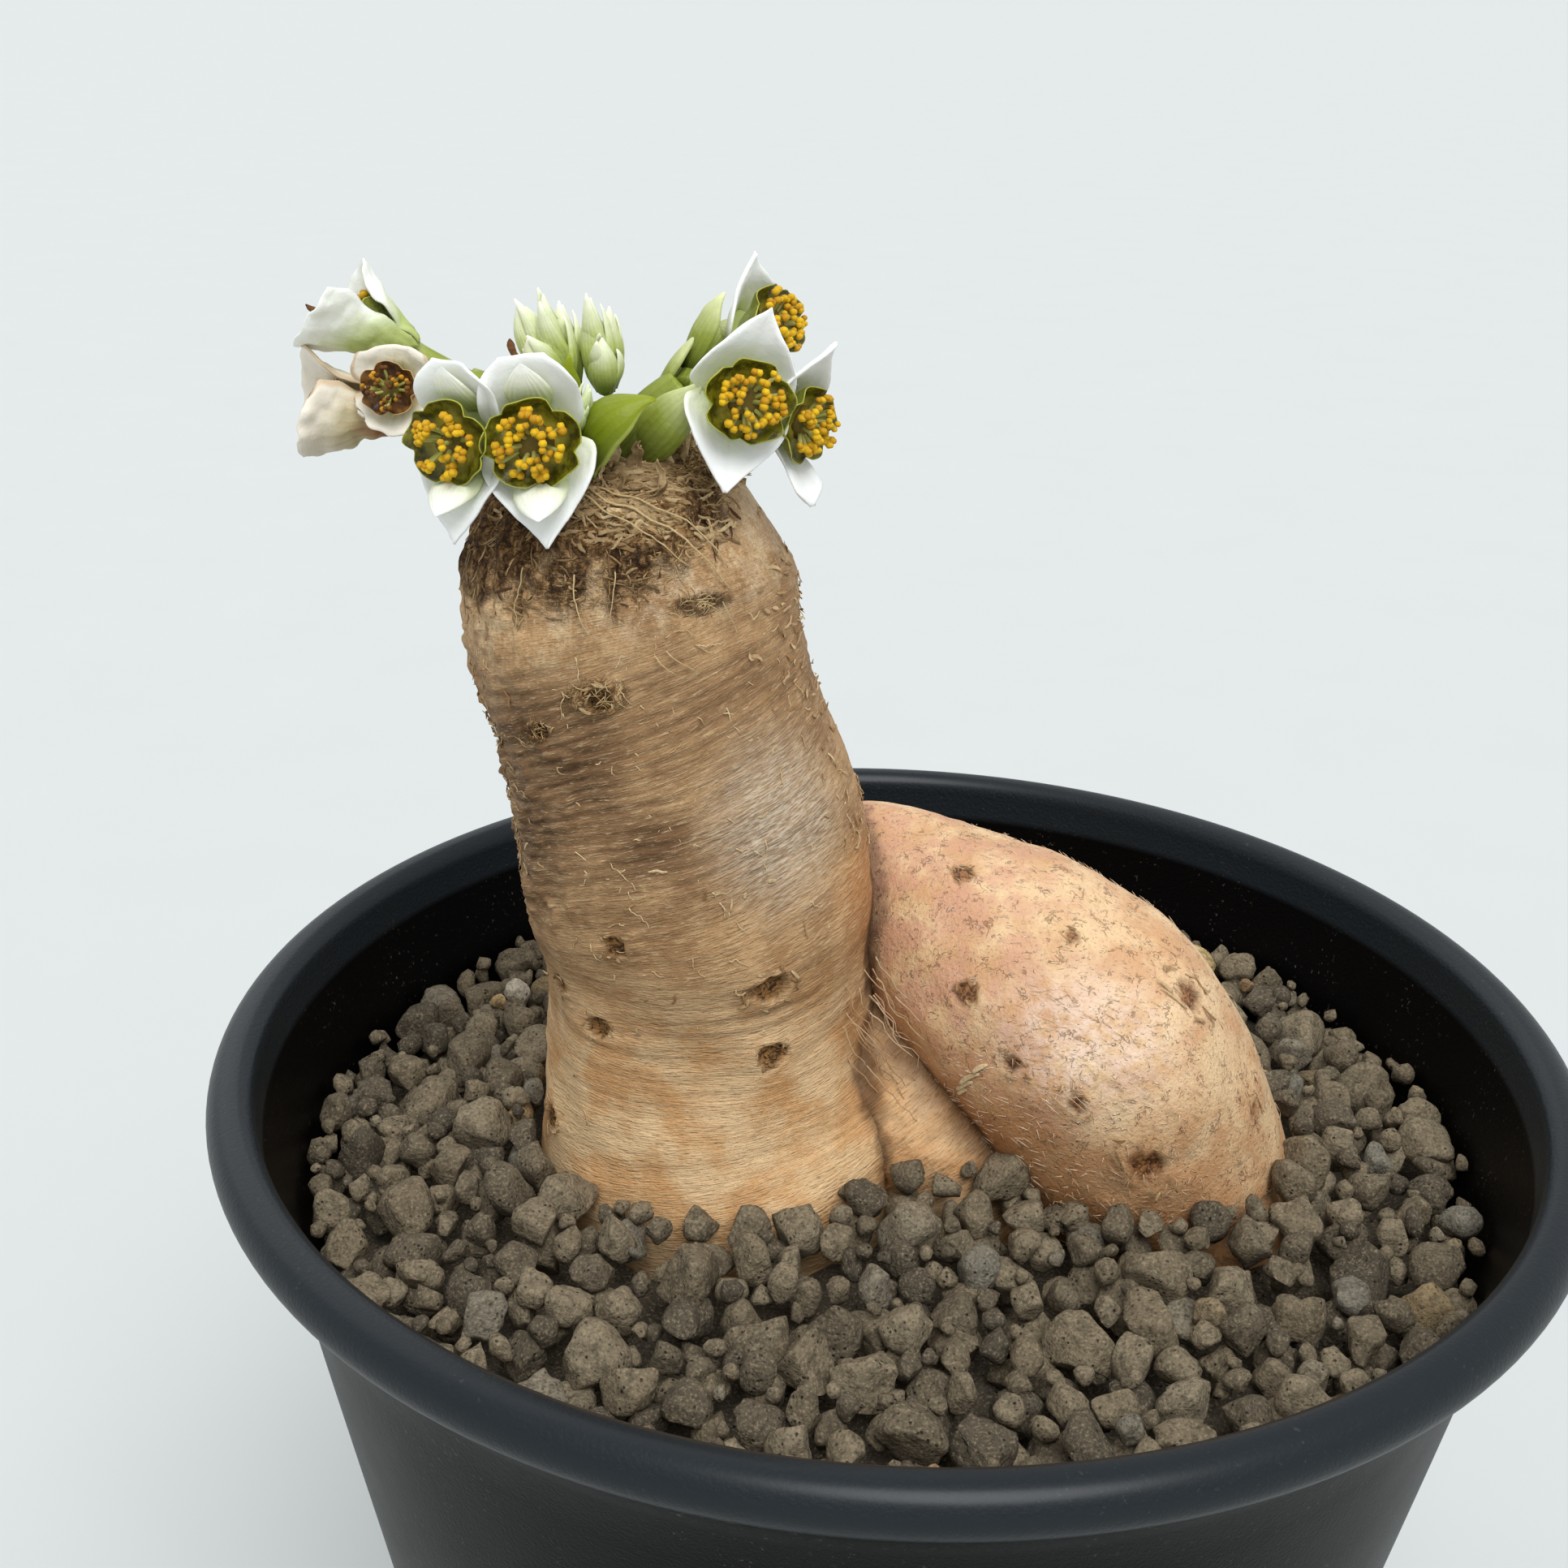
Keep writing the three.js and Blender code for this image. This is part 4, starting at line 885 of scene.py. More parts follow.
def marks_on(knots, marks, rows, limit=3.2):
    """How high the scars raise a limb's skin, and how dark they are"""
    lift, dark = np.zeros(rows.shape[:2]), np.zeros(rows.shape[:2])
    for n, (t, angle, size) in enumerate(marks):
        spot = limb(knots, np.array([t]), np.radians([angle]))[0, 0]
        away = np.linalg.norm((rows - spot) * (0.92, 0.92, 1.15), axis=-1) / size
        close = away < limit
        wobble = rough(rows[close], 1.1, 3, seed=40 + n)
        away = away[close] * (1 + 0.3 * wobble)
        rim = np.exp(-((away - 0.95) / 0.2) ** 2) * (0.6 + 0.7 * wobble)
        hole = smooth(0.9, 0.65, away)
        mound = 0.15 * np.exp(-(away / 1.6) ** 2)
        lift[close] += size * (mound + 0.13 * rim - hole * (0.24 + 0.16 * wobble))
        dark[close] = np.maximum(dark[close], hole)
    return lift, np.clip(dark, 0, 1)


def cover(patches, t, turn, ragged):
    """How strongly patches cover places on the column"""
    total = 0 * t * turn
    for spot, angle, high, wide in patches:
        side = (turn - math.radians(angle) + np.pi) % (2 * np.pi) - np.pi
        away = np.hypot((t - spot) * COLUMN_LENGTH / high, side * 14 / wide)
        total = np.maximum(total, smooth(1.15, 0.7, away + 0.35 * ragged))
    return total


def crown_start(turn):
    return np.interp(np.degrees(turn) % 360, CROWN_ANGLES, CROWN_STARTS)


def in_crown(t, turn, ragged):
    return smooth(0.0, 0.02, t - crown_start(turn) + 0.014 * ragged)


def from_spot(base, knots, t, angle, reach):
    """1 at a spot on a limb, fading to 0 at reach from it"""
    spot = limb(knots, np.array([t]), np.radians([angle]))[0, 0]
    return smooth(1, 0.2, np.linalg.norm((base - spot) / reach, axis=-1))


def ring_bands(base, t, turn):
    """Where the column is ringed: in a dark belt, strongest on its left, and faintly below that"""
    side = 0.5 + 0.5 * np.cos(turn - np.radians(225))
    belt = smooth(0.47, 0.58, t) * smooth(0.77, 0.7, t)
    belt = belt * (0.28 + 0.72 * side ** 1.4) * (0.8 + 0.4 * noise(base, 5, 8))
    return np.clip(belt + 0.22 * smooth(0.3, 0.4, t) * smooth(0.5, 0.44, t), 0, 1)


def cleft_depths(base, t, turn):
    """How deep each cleft is at places on the column"""
    for angle, low, high in CLEFTS:
        off = ((turn - math.radians(angle) + np.pi) % (2 * np.pi) - np.pi) * 14 + 0.4 * noise(base, 1.5, 16)
        ends = smooth(low - 0.01, low + 0.01, t) * smooth(high + 0.02, high, t)
        yield np.exp(-(off / 0.38) ** 2) * ends


def make_column(paint):
    # Few rings of points in the buried foot, and many above it
    t = np.concatenate([np.linspace(0, 0.2, 10, endpoint=False), np.linspace(0.2, 1, 290)])
    angles = 2 * np.pi * np.arange(220) / 220
    base = limb(COLUMN, t, angles)
    t_all, turn = t[:, None] + 0 * angles, angles + 0 * t[:, None]

    # The rings tilt in the middle of the column, and level tells how high each lies
    tilt = smooth(0.3, 0.6, t_all) * smooth(0.92, 0.78, t_all)
    level = COLUMN_LENGTH * t_all - 2.2 * np.cos(turn) * tilt + 0.9 * noise(base, 14, 3)
    on_level = np.stack([base[..., 0] / 18, base[..., 1] / 18, level], -1)
    band = ring_bands(base, t_all, turn)

    # The crown and its patches
    ragged = rough(base, 2.2, 3, 9)
    shaggy, cracked, straw, fuzzy = (cover(p, t_all, turn, ragged) for p in (SHAGGY, CRACKED, STRAW, FUZZY))
    torn_places = np.max([shaggy, cracked, straw, smooth(0.83, 0.86, t_all)], axis=0)
    crown = np.maximum(in_crown(t_all, turn, ragged) * (0.45 + 0.55 * torn_places), 0.8 * fuzzy)
    torn = rough(base * (1, 1, 0.35), 1.1, 3, 12)
    bricks = noise(base * (0.3, 0.3, 1), 0.5, 14)

    # The relief: rings and skin, then the crown, its clefts, the scars and the peeling left side
    phase = 2 * np.pi * (level + 0.35 * noise(base, 8, 5) + 0.14 * noise(base, 2.5, 6)) / RING_SPACING
    groove = smooth(-0.1, 0.95, np.sin(phase)) * band * (1 - crown)
    groove = groove * np.clip(0.7 + 0.9 * noise(on_level * (9, 9, 1), 1.6, 7), 0, 1)
    lift = swell(COLUMN, base) - 0.17 * groove + 0.07 * (1 - crown) * noise(on_level, 0.6, 6)
    lift = lift + crown * (0.2 + 0.3 * shaggy) * torn + 0.3 * cracked * bricks
    lift = lift + 0.25 * straw * noise(base * (0.6, 0.6, 1.4), 0.8, 15)
    for cleft in cleft_depths(base, t_all, turn):
        lift = lift - 0.45 * cleft
        shaggy = np.maximum(shaggy, cleft)
        crown = np.maximum(crown, 0.9 * cleft)
    raised, pit = marks_on(COLUMN, COLUMN_SCARS, base)
    flaky = smooth(0.25, 0.8, np.cos(turn - np.radians(188)) + 0.5 * noise(base, 4, 21))
    flaky = flaky * smooth(0.45, 0.52, t_all) * (1 - crown)
    crust = np.maximum(noise(base, 1.5, 22) + 0.7 * noise(base, 0.7, 23), 0)
    lift = (lift + raised + 0.55 * flaky * crust) * smooth(1.0, 0.96, t_all)

    pale = from_spot(base, COLUMN, 0.56, 312, (9, 9, 11))
    pale = pale + 0.35 * smooth(0.0, 0.5, ragged) * smooth(0.78, 0.8, t_all)
    warm = 0.55 * from_spot(base, COLUMN, 0.47, 345, (7, 7, 9))
    # Painted shade where the column meets the tuber and the web is carried as the last tone
    tones = dict(
        level=level, band=band, groove=groove, crown=crown, pit=pit, pale=np.clip(pale, 0, 1),
        low=smooth(0.5, 0.36, t_all), shaggy=shaggy, cracked=cracked, straw=straw, warm=warm,
        grime=in_joint(base, TUBER, WEB))
    piece = Piece("caudex_column", paint, ["caudex"], "bark")
    piece.add(skin(limb(COLUMN, t, angles, lift)), **with_ends(tones))
    piece.make()


def make_web(paint):
    """The bark that joins the column's foot to the tuber"""
    t, angles = np.linspace(0, 1, 100), 2 * np.pi * np.arange(90) / 90
    base = limb(WEB, t, angles)
    raised, pit = marks_on(WEB, [(0.42, 300, 0.9)], base)
    lift = raised + swell(WEB, base) + 0.25 * rough(base, 1.4, 3, 24)
    flat = 0 * base[..., 0]
    tones = dict.fromkeys(COLUMN_TONES, flat)
    # Painted shade darkens the web where it meets the tuber and the column
    tones.update(
        level=30 * t[:, None] + flat, pit=pit, low=flat + 1, warm=flat + 0.25,
        pale=np.clip(0.4 * rough(base, 3, 3, 25), 0, 1),
        grime=np.maximum(in_joint(base, TUBER, reach=4), in_joint(base, COLUMN)))
    web = Piece("caudex_web", paint, ["caudex"], "bark")
    web.add(skin(limb(WEB, t, angles, lift)), **with_ends(tones))
    web.make()


def with_ends(tones):
    """Tones over a grid of rings, with one more at each end point"""
    return {key: np.concatenate([rows.ravel(), rows[0, :1], rows[-1, :1]]) for key, rows in tones.items()}


def make_tuber():
    piece = Piece("caudex_tuber", paint_tuber(), ["caudex"], "bark")
    t, angles = np.linspace(0, 1, 200), 2 * np.pi * np.arange(160) / 160
    base = limb(TUBER, t, angles)
    raised, pit = marks_on(TUBER, TUBER_EYES, base, 3.5)
    lift = raised + swell(TUBER, base) + 0.06 * noise(base, 1.1, 33)
    x, _, z = (base[..., k] for k in range(3))
    low = smooth(106, 93, z + 0.45 * (x - 12))
    # Where the painted highlight lies on the tuber, with a little real coat on it
    shine = smooth(1, 0.1, np.linalg.norm((base - (16, -14, 109)) / (12, 9, 9), axis=-1))
    # The tones also carry painted shade where the tuber meets the column and the web
    tones = dict(pit=pit, low=0.85 * low, pink=np.clip(smooth(22, 2, x) + 0.15, 0, 1), shine=shine,
                 grime=in_joint(base, COLUMN, WEB))
    piece.add(skin(limb(TUBER, t, angles, lift)), **with_ends(tones))
    piece.make()


def creep(knots, t, angle, heading, length, bend, steps, lift, span=COLUMN_LENGTH):
    """A path that creeps over a limb from a place, and the limb's outward ways along it"""
    path, outs = [], []
    for _ in range(steps):
        rows, _, right, back = limb_frame(knots, np.array([t]))
        out = unit(math.cos(angle) * right[0] + math.sin(angle) * back[0])
        radius = rows[0, 3]
        path.append(rows[0, :3] + out * radius)
        outs.append(out)
        step = length / (steps - 1)
        heading += bend / (steps - 1)
        t = min(t + math.sin(heading) * step / span, 0.995)
        angle += math.cos(heading) * step / max(radius, 1.5)
    path, outs = np.array(path), np.array(outs)
    lifts = swell(knots, path) + [lift(k / (steps - 1)) for k in range(steps)]
    return path + outs * lifts[:, None], outs


def ribbon(path, outs, width, thickness, curl, tilt=0.0, columns=4):
    """A thin strip along a path, that lies on a surface, curls up at its sides and may tilt"""
    side = unit(np.cross(np.gradient(path, axis=0), outs))
    v = np.linspace(-1, 1, columns)[None, :, None]
    span = 0.5 * width * np.sin(np.pi * (0.14 + 0.76 * np.linspace(0, 1, len(path))))[:, None, None]
    middle = path[:, None] + side[:, None] * v * span + outs[:, None] * ((curl * v * v + tilt * v) * span)
    return blade(middle, thickness)


def crinkle(path, amount, size, seed):
    return path + amount * np.stack([noise(path, size, seed + c) for c in range(3)], -1)


def make_crown():
    draw = np.random.default_rng(19)
    make_crown_bark(draw)
    make_papers(draw)
    make_threads(draw)


def make_crown_bark(draw, places=5600, most=1900):
    """Short torn fibres all over the crown, thickest where it is shaggy, cracked or strawy"""
    bark = Piece("crown_bark", paint_shred("crown_bark_fibre", "#4b331e", "#cdab78"), ["caudex"], "bark")
    turns = draw.uniform(0, 2 * np.pi, places)
    starts = crown_start(turns) - 0.012
    spots = starts + (0.98 - starts) * draw.uniform(0, 1, places) ** 0.9
    ragged = rough(np.stack([turns * 14, spots * COLUMN_LENGTH, 0 * turns], -1), 2.2, 3, 9)
    shaggy, cracked, straw = (cover(p, spots, turns, ragged) for p in (SHAGGY, CRACKED, STRAW))
    made = 0
    for t, angle, shag, crack, dry in zip(spots, turns, shaggy, cracked, straw):
        strength = max(shag, crack, dry, 0.25 + 4 * (t - 0.85))
        if made >= most or draw.uniform() > strength:
            continue
        made += 1
        if shag > max(crack, dry):
            heading = -1.5 + draw.normal(0, 0.55)
        else:
            heading = draw.normal(0, 0.3) + math.pi * draw.integers(2)
        length, width, rise = draw.uniform(0.5, 1.8), draw.uniform(0.1, 0.28), draw.uniform(0, 0.3)
        path, outs = creep(COLUMN, t, angle, heading, length, draw.normal(0, 1.1), 4,
                           lambda s: 0.02 + rise * s * s)
        own = np.clip(0.6 - 0.3 * shag - 0.25 * crack + 0.1 * dry + draw.normal(0, 0.24), 0, 1)
        fibre = ribbon(path, outs, width, 0.08, draw.uniform(-0.2, 0.6), draw.uniform(-0.3, 0.5), 3)
        bark.add(fibre, own=own)
    bark.make()


def make_papers(draw):
    """Dry leaf bases: strips that lie on the crown, and scraps that stand up from it"""
    papers = Piece("crown_papers", paint_shred("dry_leaf_base", "#6e4f2b", "#dcc294"), ["caudex"], "bark")
    for k in range(260):
        angle = math.radians(draw.normal(268, 22) if k % 3 else draw.uniform(0, 360))
        t = draw.uniform(0.85, 0.965)
        length, width = draw.uniform(1.2, 3.6), draw.uniform(0.15, 0.45)
        path, outs = creep(COLUMN, t, angle, draw.normal(0.05, 0.3), length, draw.normal(-0.2, 0.5), 11,
                           lambda s: 0.04 + 0.16 * math.sin(3.1 * s))
        strip, faces = ribbon(crinkle(path, 0.22, 0.7, 55), outs, width, 0.08, 0.2, draw.uniform(-0.4, 0.6))
        papers.add((crinkle(strip, 0.14, 0.5, 57), faces), own=np.clip(draw.normal(0.42, 0.2), 0, 1))
    for k in range(34):
        angle = math.radians(285 + draw.normal(0, 40)) if k % 3 else draw.uniform(0, 6.28)
        papers.add(standing_scrap(draw, angle), own=np.clip(draw.normal(0.65, 0.3), 0, 1))
    papers.make()


def standing_scrap(draw, angle):
    """A pointed scrap rooted in the crown, leaning out and cupped"""
    t = draw.uniform(0.89, 0.985)
    rows, _, right, back = limb_frame(COLUMN, np.array([t]))
    out = unit(math.cos(angle) * right[0] + math.sin(angle) * back[0])
    side = unit(np.cross(out, UPWARD))
    root = rows[0, :3] + out * (rows[0, 3] - 0.3)
    length, width = draw.uniform(1.2, 3.2), draw.uniform(0.4, 1.3)
    lean, twist = draw.uniform(0.2, 1.1), draw.normal(0, 0.6)
    u, v = np.linspace(0, 1, 9)[:, None, None], np.linspace(-1, 1, 7)[None, :, None]
    middle = root + UPWARD * (u * length * math.cos(lean))
    middle = middle + out * (lean * length * u * u + 0.35 * v * v * width)
    middle = middle + side * (v * 0.5 * width * (1 - 0.75 * u ** 1.5) + twist * u)
    return blade(crinkle(middle, 0.35, 0.7, 50), 0.1)


def make_threads(draw):
    """Long and hanging threads, loose short ones round the crown's edge, and the tangles of fuzz"""
    threads = Piece("crown_threads", paint_shred("straw_thread", "#8a6a3f", "#dcc596"), ["caudex"], "bark")
    for t, angle, heading, length, bend, radius in LONG_THREADS + HANGING_THREADS:
        rise = 0.35 if length > 9 else 0.12
        path, _ = creep(COLUMN, t, math.radians(angle), heading, length, bend, 20,
                        lambda s: 0.3 + rise * math.sin(math.pi * s))
        path = crinkle(crinkle(path, 0.25, 1.8, 60), 0.08, 0.5, 61)
        threads.add(strand(path, radius, 5), own=0.65)
    for _ in range(36):
        angle = draw.uniform(0, 2 * math.pi)
        t = crown_start(angle) + draw.uniform(-0.005, 0.1)
        path, _ = creep(COLUMN, t, angle, draw.uniform(-2.2, -0.9), draw.uniform(1, 3.6),
                        draw.normal(0, 1.2), 8, lambda s: 0.05 + 0.12 * s)
        path = crinkle(crinkle(path, 0.3, 1.0, 70), 0.1, 0.4, 71)
        threads.add(strand(path, 0.05), own=draw.uniform(0, 0.6))
    for t, angle, high, wide in FUZZY:
        for _ in range(34):
            spot = t + draw.normal(0, 0.4) * high / COLUMN_LENGTH
            side = math.radians(angle) + draw.normal(0, 0.4) * wide / 14
            path, _ = creep(COLUMN, spot, side, draw.uniform(0, 6.28), draw.uniform(0.7, 2),
                            draw.normal(0, 1.6), 7, lambda s: 0.02 + 0.2 * math.sin(math.pi * s))
            threads.add(strand(path, 0.05), own=draw.uniform(0, 0.8))
    threads.make()


def make_flakes():
    """Peeling skin on the column and the tuber"""
    draw = np.random.default_rng(29)
    piece = Piece("skin_flakes", paint_shred("peeling_skin", "#8f6a42", "#e6cfa2"), ["caudex"], "bark")
    add_loose_flakes(piece, draw)
    add_raised_curls(piece, draw)
    add_torn_rims(piece, draw, COLUMN, COLUMN_LENGTH, COLUMN_SCARS + [(0.534, 5, 0.9)])
    add_torn_rims(piece, draw, TUBER, TUBER_LENGTH, TUBER_EYES)
    for angle, length in ((290, 2.6), (296, 2.2), (284, 1.6), (302, 1.2)):
        path, outs = creep(TUBER, 0.425, math.radians(angle), -0.5, length, 0.5, 7,
                           lambda s: 0.08 + 0.3 * s, TUBER_LENGTH)
        piece.add(ribbon(path, outs, 0.45, 0.07, 0.3), own=0.9)
    piece.make()


def add_loose_flakes(piece, draw):
    for centre, spread, low, high, count in LOOSE_FLAKES:
        for _ in range(count):
            angle, t = math.radians(draw.normal(centre, spread)), draw.uniform(low, high)
            path, outs = creep(COLUMN, t, angle, draw.uniform(0, 6.28), draw.uniform(0.5, 1.8),
                               draw.normal(0, 1.5), 5, lambda s: 0.02 + 0.28 * s * s)
            path = crinkle(path, 0.15, 0.6, 84)
            flake = ribbon(path, outs, draw.uniform(0.1, 0.36), 0.08, draw.uniform(0, 0.8))
            piece.add(flake, own=draw.uniform(0, 0.75))


def add_raised_curls(piece, draw):
    """Thin curls that lie over the column's front"""
    for k in range(130):
        angle = math.radians(draw.normal(275, 30)) if k % 3 else draw.uniform(0, 6.28)
        t = draw.uniform(0.46, 0.77)
        heading = draw.choice([-1.5, -1.2, 0.15]) + draw.normal(0, 0.35)
        path, _ = creep(COLUMN, t, angle, heading, draw.uniform(0.7, 3.0), draw.normal(0, 0.8), 12,
                        lambda s: 0.03)
        path = crinkle(crinkle(path, 0.3, 0.9, 80), 0.14, 0.35, 83)
        piece.add(strand(path, 0.06), own=draw.uniform(0.55, 0.9))


def add_torn_rims(piece, draw, knots, span, marks, scraps=12):
    """Scraps of skin round the scars and eyes of a limb"""
    for t, angle, size in marks:
        for k in range(scraps):
            way = 2 * math.pi * k / scraps + draw.normal(0, 0.3)
            reach = size * draw.uniform(0.85, 1.1)
            spot = t + reach * 0.8 * math.sin(way) / span
            side = math.radians(angle) + reach * math.cos(way) / 13
            path, outs = creep(
                knots, spot, side, way + draw.choice([1.6, 4.7]), size * draw.uniform(0.3, 0.7),
                draw.normal(0, 1), 5, lambda s: 0.17 * size + 0.05 * size * s, span)
            scrap = ribbon(path, outs, size * draw.uniform(0.08, 0.2), 0.07, 0.5)
            piece.add(scrap, own=draw.uniform(0, 0.55))


def make_hairs():
    """Short hairs lying on the tuber, and the dry threads in its join with the column"""
    draw = np.random.default_rng(37)
    piece = Piece("tuber_hairs", paint_shred("dry_hair", "#a67a4c", "#f3dfc0"), ["caudex"], "bark")
    for k in range(1800):
        t, angle = draw.uniform(0.22, 0.72), draw.uniform(0, 2 * math.pi)
        if k % 3 == 0:
            t, angle = draw.uniform(0.38, 0.72), math.radians(draw.uniform(240, 350))
        length = draw.uniform(0.35, 1.0)
        path, _ = creep(TUBER, t, angle, draw.normal(-0.6, 0.8), length, 0, 3,
                        lambda s: 0.02 + 0.22 * s, TUBER_LENGTH)
        piece.add(thread(path, (0.035, 0.028, 0.01), 3), own=draw.uniform(0.3, 1))
    for _ in range(26):
        top = np.array([-2.2, -8.6, 107]) + draw.normal(0, 1, 3) * (0.9, 0.8, 2.5)
        low = top + np.array([4.5, -0.6, -6]) * draw.uniform(0.4, 1.3) + draw.normal(0, 0.5, 3)
        middle = 0.5 * (top + low) + (0, -0.4, 0)
        path = crinkle(along([top, middle, low], np.linspace(0, 1, 10)), 0.5, 1.6, 75)
        piece.add(strand(path, 0.06), own=draw.uniform(0, 0.5))
    piece.make()


# The green shoot

def leaf_middle(leaf, outline, rows, columns):
    """The middle sheet of a leaf: pointed, arched away from its stem and folded round it"""
    start, end, back = np.array(leaf["root"], float), np.array(leaf["tip"], float), unit(leaf["out"])
    across = np.cross(unit(end - start), back)
    u = np.linspace(0, 1, rows)
    v = np.linspace(-1, 1, columns)
    wide = leaf["half_width"] * outline_at(outline, u)
    fold = math.radians(leaf["fold"])
    spread = (v * fold)[None]
    out = leaf["arch"] * np.sin(np.pi * u)[:, None] - wide * (1 - np.cos(spread)) / fold
    side = wide * np.sin(spread) / fold
    hook = leaf.get("hook", (0, 0, 0)) * (u ** 3)[:, None, None]
    middle = start + (end - start) * u[:, None, None] + back * out[..., None] + across * side[..., None]
    return middle + hook, np.repeat(u, columns), np.tile(v, rows)


def add_leaf(piece, leaf, thickness=0.45, outline=LEAF, rows=24, columns=15):
    middle, u, v = leaf_middle(leaf, outline, rows, columns)
    piece.add(blade(crinkle(middle, 0.07, 1.5, 90), thickness), along=np.tile(u, 2), across=np.tile(v, 2))


def add_limb(piece, knots, tone, sides=24, rows=24):
    """A smooth green stalk over knots of [x, y, z, radius]"""
    t = np.linspace(0, 1, rows)
    angles = 2 * np.pi * np.arange(sides) / sides
    knots = np.array([(x, y, z, r, r) for x, y, z, r in knots], float)
    low, high = tone
    shade = np.append(np.repeat(low + (high - low) * t, sides), (low, high))
    across = np.append(np.tile(np.cos(angles), rows), (0, 0))
    piece.add(skin(limb(knots, t, angles)), along=shade, across=across)


def make_stems():
    # The dark olive at the root of this green is painted shadow, as the curled leaf shades the bases of the
    # stems
    piece = Piece("leafy_stems", paint_living("green_sheath", "#3d430d", "#8b9738", "#dbe0aa", 0.42),
                  ["stems"], "green_stem")
    for way, blooms in BRANCHES:
        add_limb(piece, [(*SHOOT_ROOT, 2.2)] + way, (0.0, 0.5))
        for number in blooms:
            place = bloom_place(BLOOMS[number])
            radius = PEDICEL_RADIUS * BLOOMS[number]["size"]
            behind, root = place(0, 0, -1.9), place(0, 0, -0.2)
            pedicel = [(*way[-1][:3], 1.4), (*behind, radius), (*root, radius * 1.1)]
            add_limb(piece, pedicel, (0.4, 0.75))
    for sheath in SHEATHS:
        add_leaf(piece, sheath)
    piece.make()


def make_leaves():
    paint = paint_living("bright_leaf", "#313a02", "#6d7b0a", "#889410", 0.38, 0.25, "#b4bf62")
    for name, node, shape in (
            ("curled_leaf", "leaf_curled", CURLED_LEAF), ("small_leaf", "leaf_small", SMALL_LEAF)):
        piece = Piece(name, paint, [node], "leaf")
        add_leaf(piece, shape)
        piece.make()


def make_bud_clusters():
    young = paint_living("young_shoot", "#8a9f45", "#b7c67c", "#e6ecc6", 0.45)
    bud = paint_living("closed_bud", "#6c8424", "#b4c06a", "#f6f7e2", 0.45)
    make_buds("shoot_point", young, "shoot_tip", "green_stem", SHOOT_TIP)
    make_buds("bud_group_left", bud, "buds_left", "bud", BUDS_LEFT)
    make_buds("bud_group_right", bud, "buds_right", "bud", BUDS_RIGHT)


def make_dried_tips():
    dry = Piece("dried_style", paint_shred("dried_brown", "#35180c", "#a5754a"), [], "faded_bract")
    count, sides = len(DRIED_SHARES), 8
    for knots, radius in DRIED_TIPS:
        path = crinkle(along(knots, np.linspace(0, 1, count)), 0.15, 0.8, 95)
        own = np.append(np.repeat(np.linspace(1, 0.2, count), sides), (1, 0.2))
        dry.add(thread(path, radius * DRIED_SHARES, sides), own=own)
    dry.make()


def make_buds(name, paint, node, slot, cluster):
    """Closed buds: each a spindle wrapped in pointed scales"""
    piece = Piece(name, paint, [node], slot)
    draw = np.random.default_rng(cluster["seed"])
    start, thick = np.array(cluster["root"], float), cluster["thickness"]
    for tip in cluster["tips"]:
        way = np.array(tip, float) - start
        lean = way * (0.25, 0.25, 0)
        knots = [(*(start + way * s + lean * math.sin(math.pi * s)), thick * w) for s, w in BUD_OUTLINE]
        add_limb(piece, knots, (0.0, 1.0), 18, 16)
        turn = draw.uniform(0, 6.28)
        for k in range(3):
            out = np.array([math.cos(turn + 2.1 * k), math.sin(turn + 2.1 * k), 0.15])
            low = start + out * thick * 0.25
            high = start + way * (1.0, 0.88, 0.72)[k] + lean * 0.3 + out * thick * (0.05, 0.25, 0.45)[k]
            scale = dict(root=low, tip=high, out=out, half_width=thick * 1.1, arch=thick * 0.55, fold=66,
                         hook=out * 0.35)
            add_leaf(piece, scale, 0.2, BUD_SCALE, 14, 9)
    piece.make()


# The blooms

def bloom_place(bloom):
    """Turns places across, up and ahead of the root of a bloom's cup into places in the frame"""
    ahead = unit(bloom["facing"])
    up = np.array(bloom["up"], float)
    upward = unit(up - ahead * (up @ ahead))
    across = np.cross(upward, ahead)
    size = bloom["size"]
    root = np.array(bloom["at"]) - ahead * CUP_LENGTH * size

    def place(x, y, z):
        x, y, z = np.broadcast_arrays(x, y, z)
        return root + size * (x[..., None] * across + y[..., None] * upward + z[..., None] * ahead)
    return place


def bract_sheet(place, side, shape, outline, wave, wraps, rows=28, columns=21):
    """A bract that leans out from its root. It has raised edges, or wraps the cup as half a funnel"""
    length, half_width, lean_root, lean_tip = shape
    a, b = math.radians(lean_root), math.radians(lean_tip)
    u = np.linspace(0, 1, rows)[:, None]
    v = np.linspace(-1, 1, columns)[None]
    lean = a + (b - a) * u
    out = 1.75 + length * (math.cos(a) - np.cos(lean)) / (b - a)
    ahead = 0.3 + length * (np.sin(lean) - math.sin(a)) / (b - a)
    share = outline_at(outline, u[:, 0])
    ripple = 0.06 * half_width * v * v * np.sin(9 * u + wave + 2.2 * np.sign(v)) * (0.4 + u)
    if wraps:
        spread = v * share * np.radians(88 - 10 * u)
        out = out + 2.2 * ripple
        across = out * np.sin(spread) * half_width / 3
        return place(across, side * out * np.cos(spread), ahead - 0.5 * spread ** 2 + ripple)
    width = half_width * share
    lift = (0.42 - 0.3 * u) * v * v * width + ripple - 0.2 * np.exp(-(v / 0.12) ** 2) * (1 - u)
    back = 0.3 * half_width * v * v * (1 - u) ** 1.5
    outward = side * (out - back - lift * np.cos(lean))
    return place(side * v * width, outward, ahead - 0.4 * back + lift * np.sin(lean))


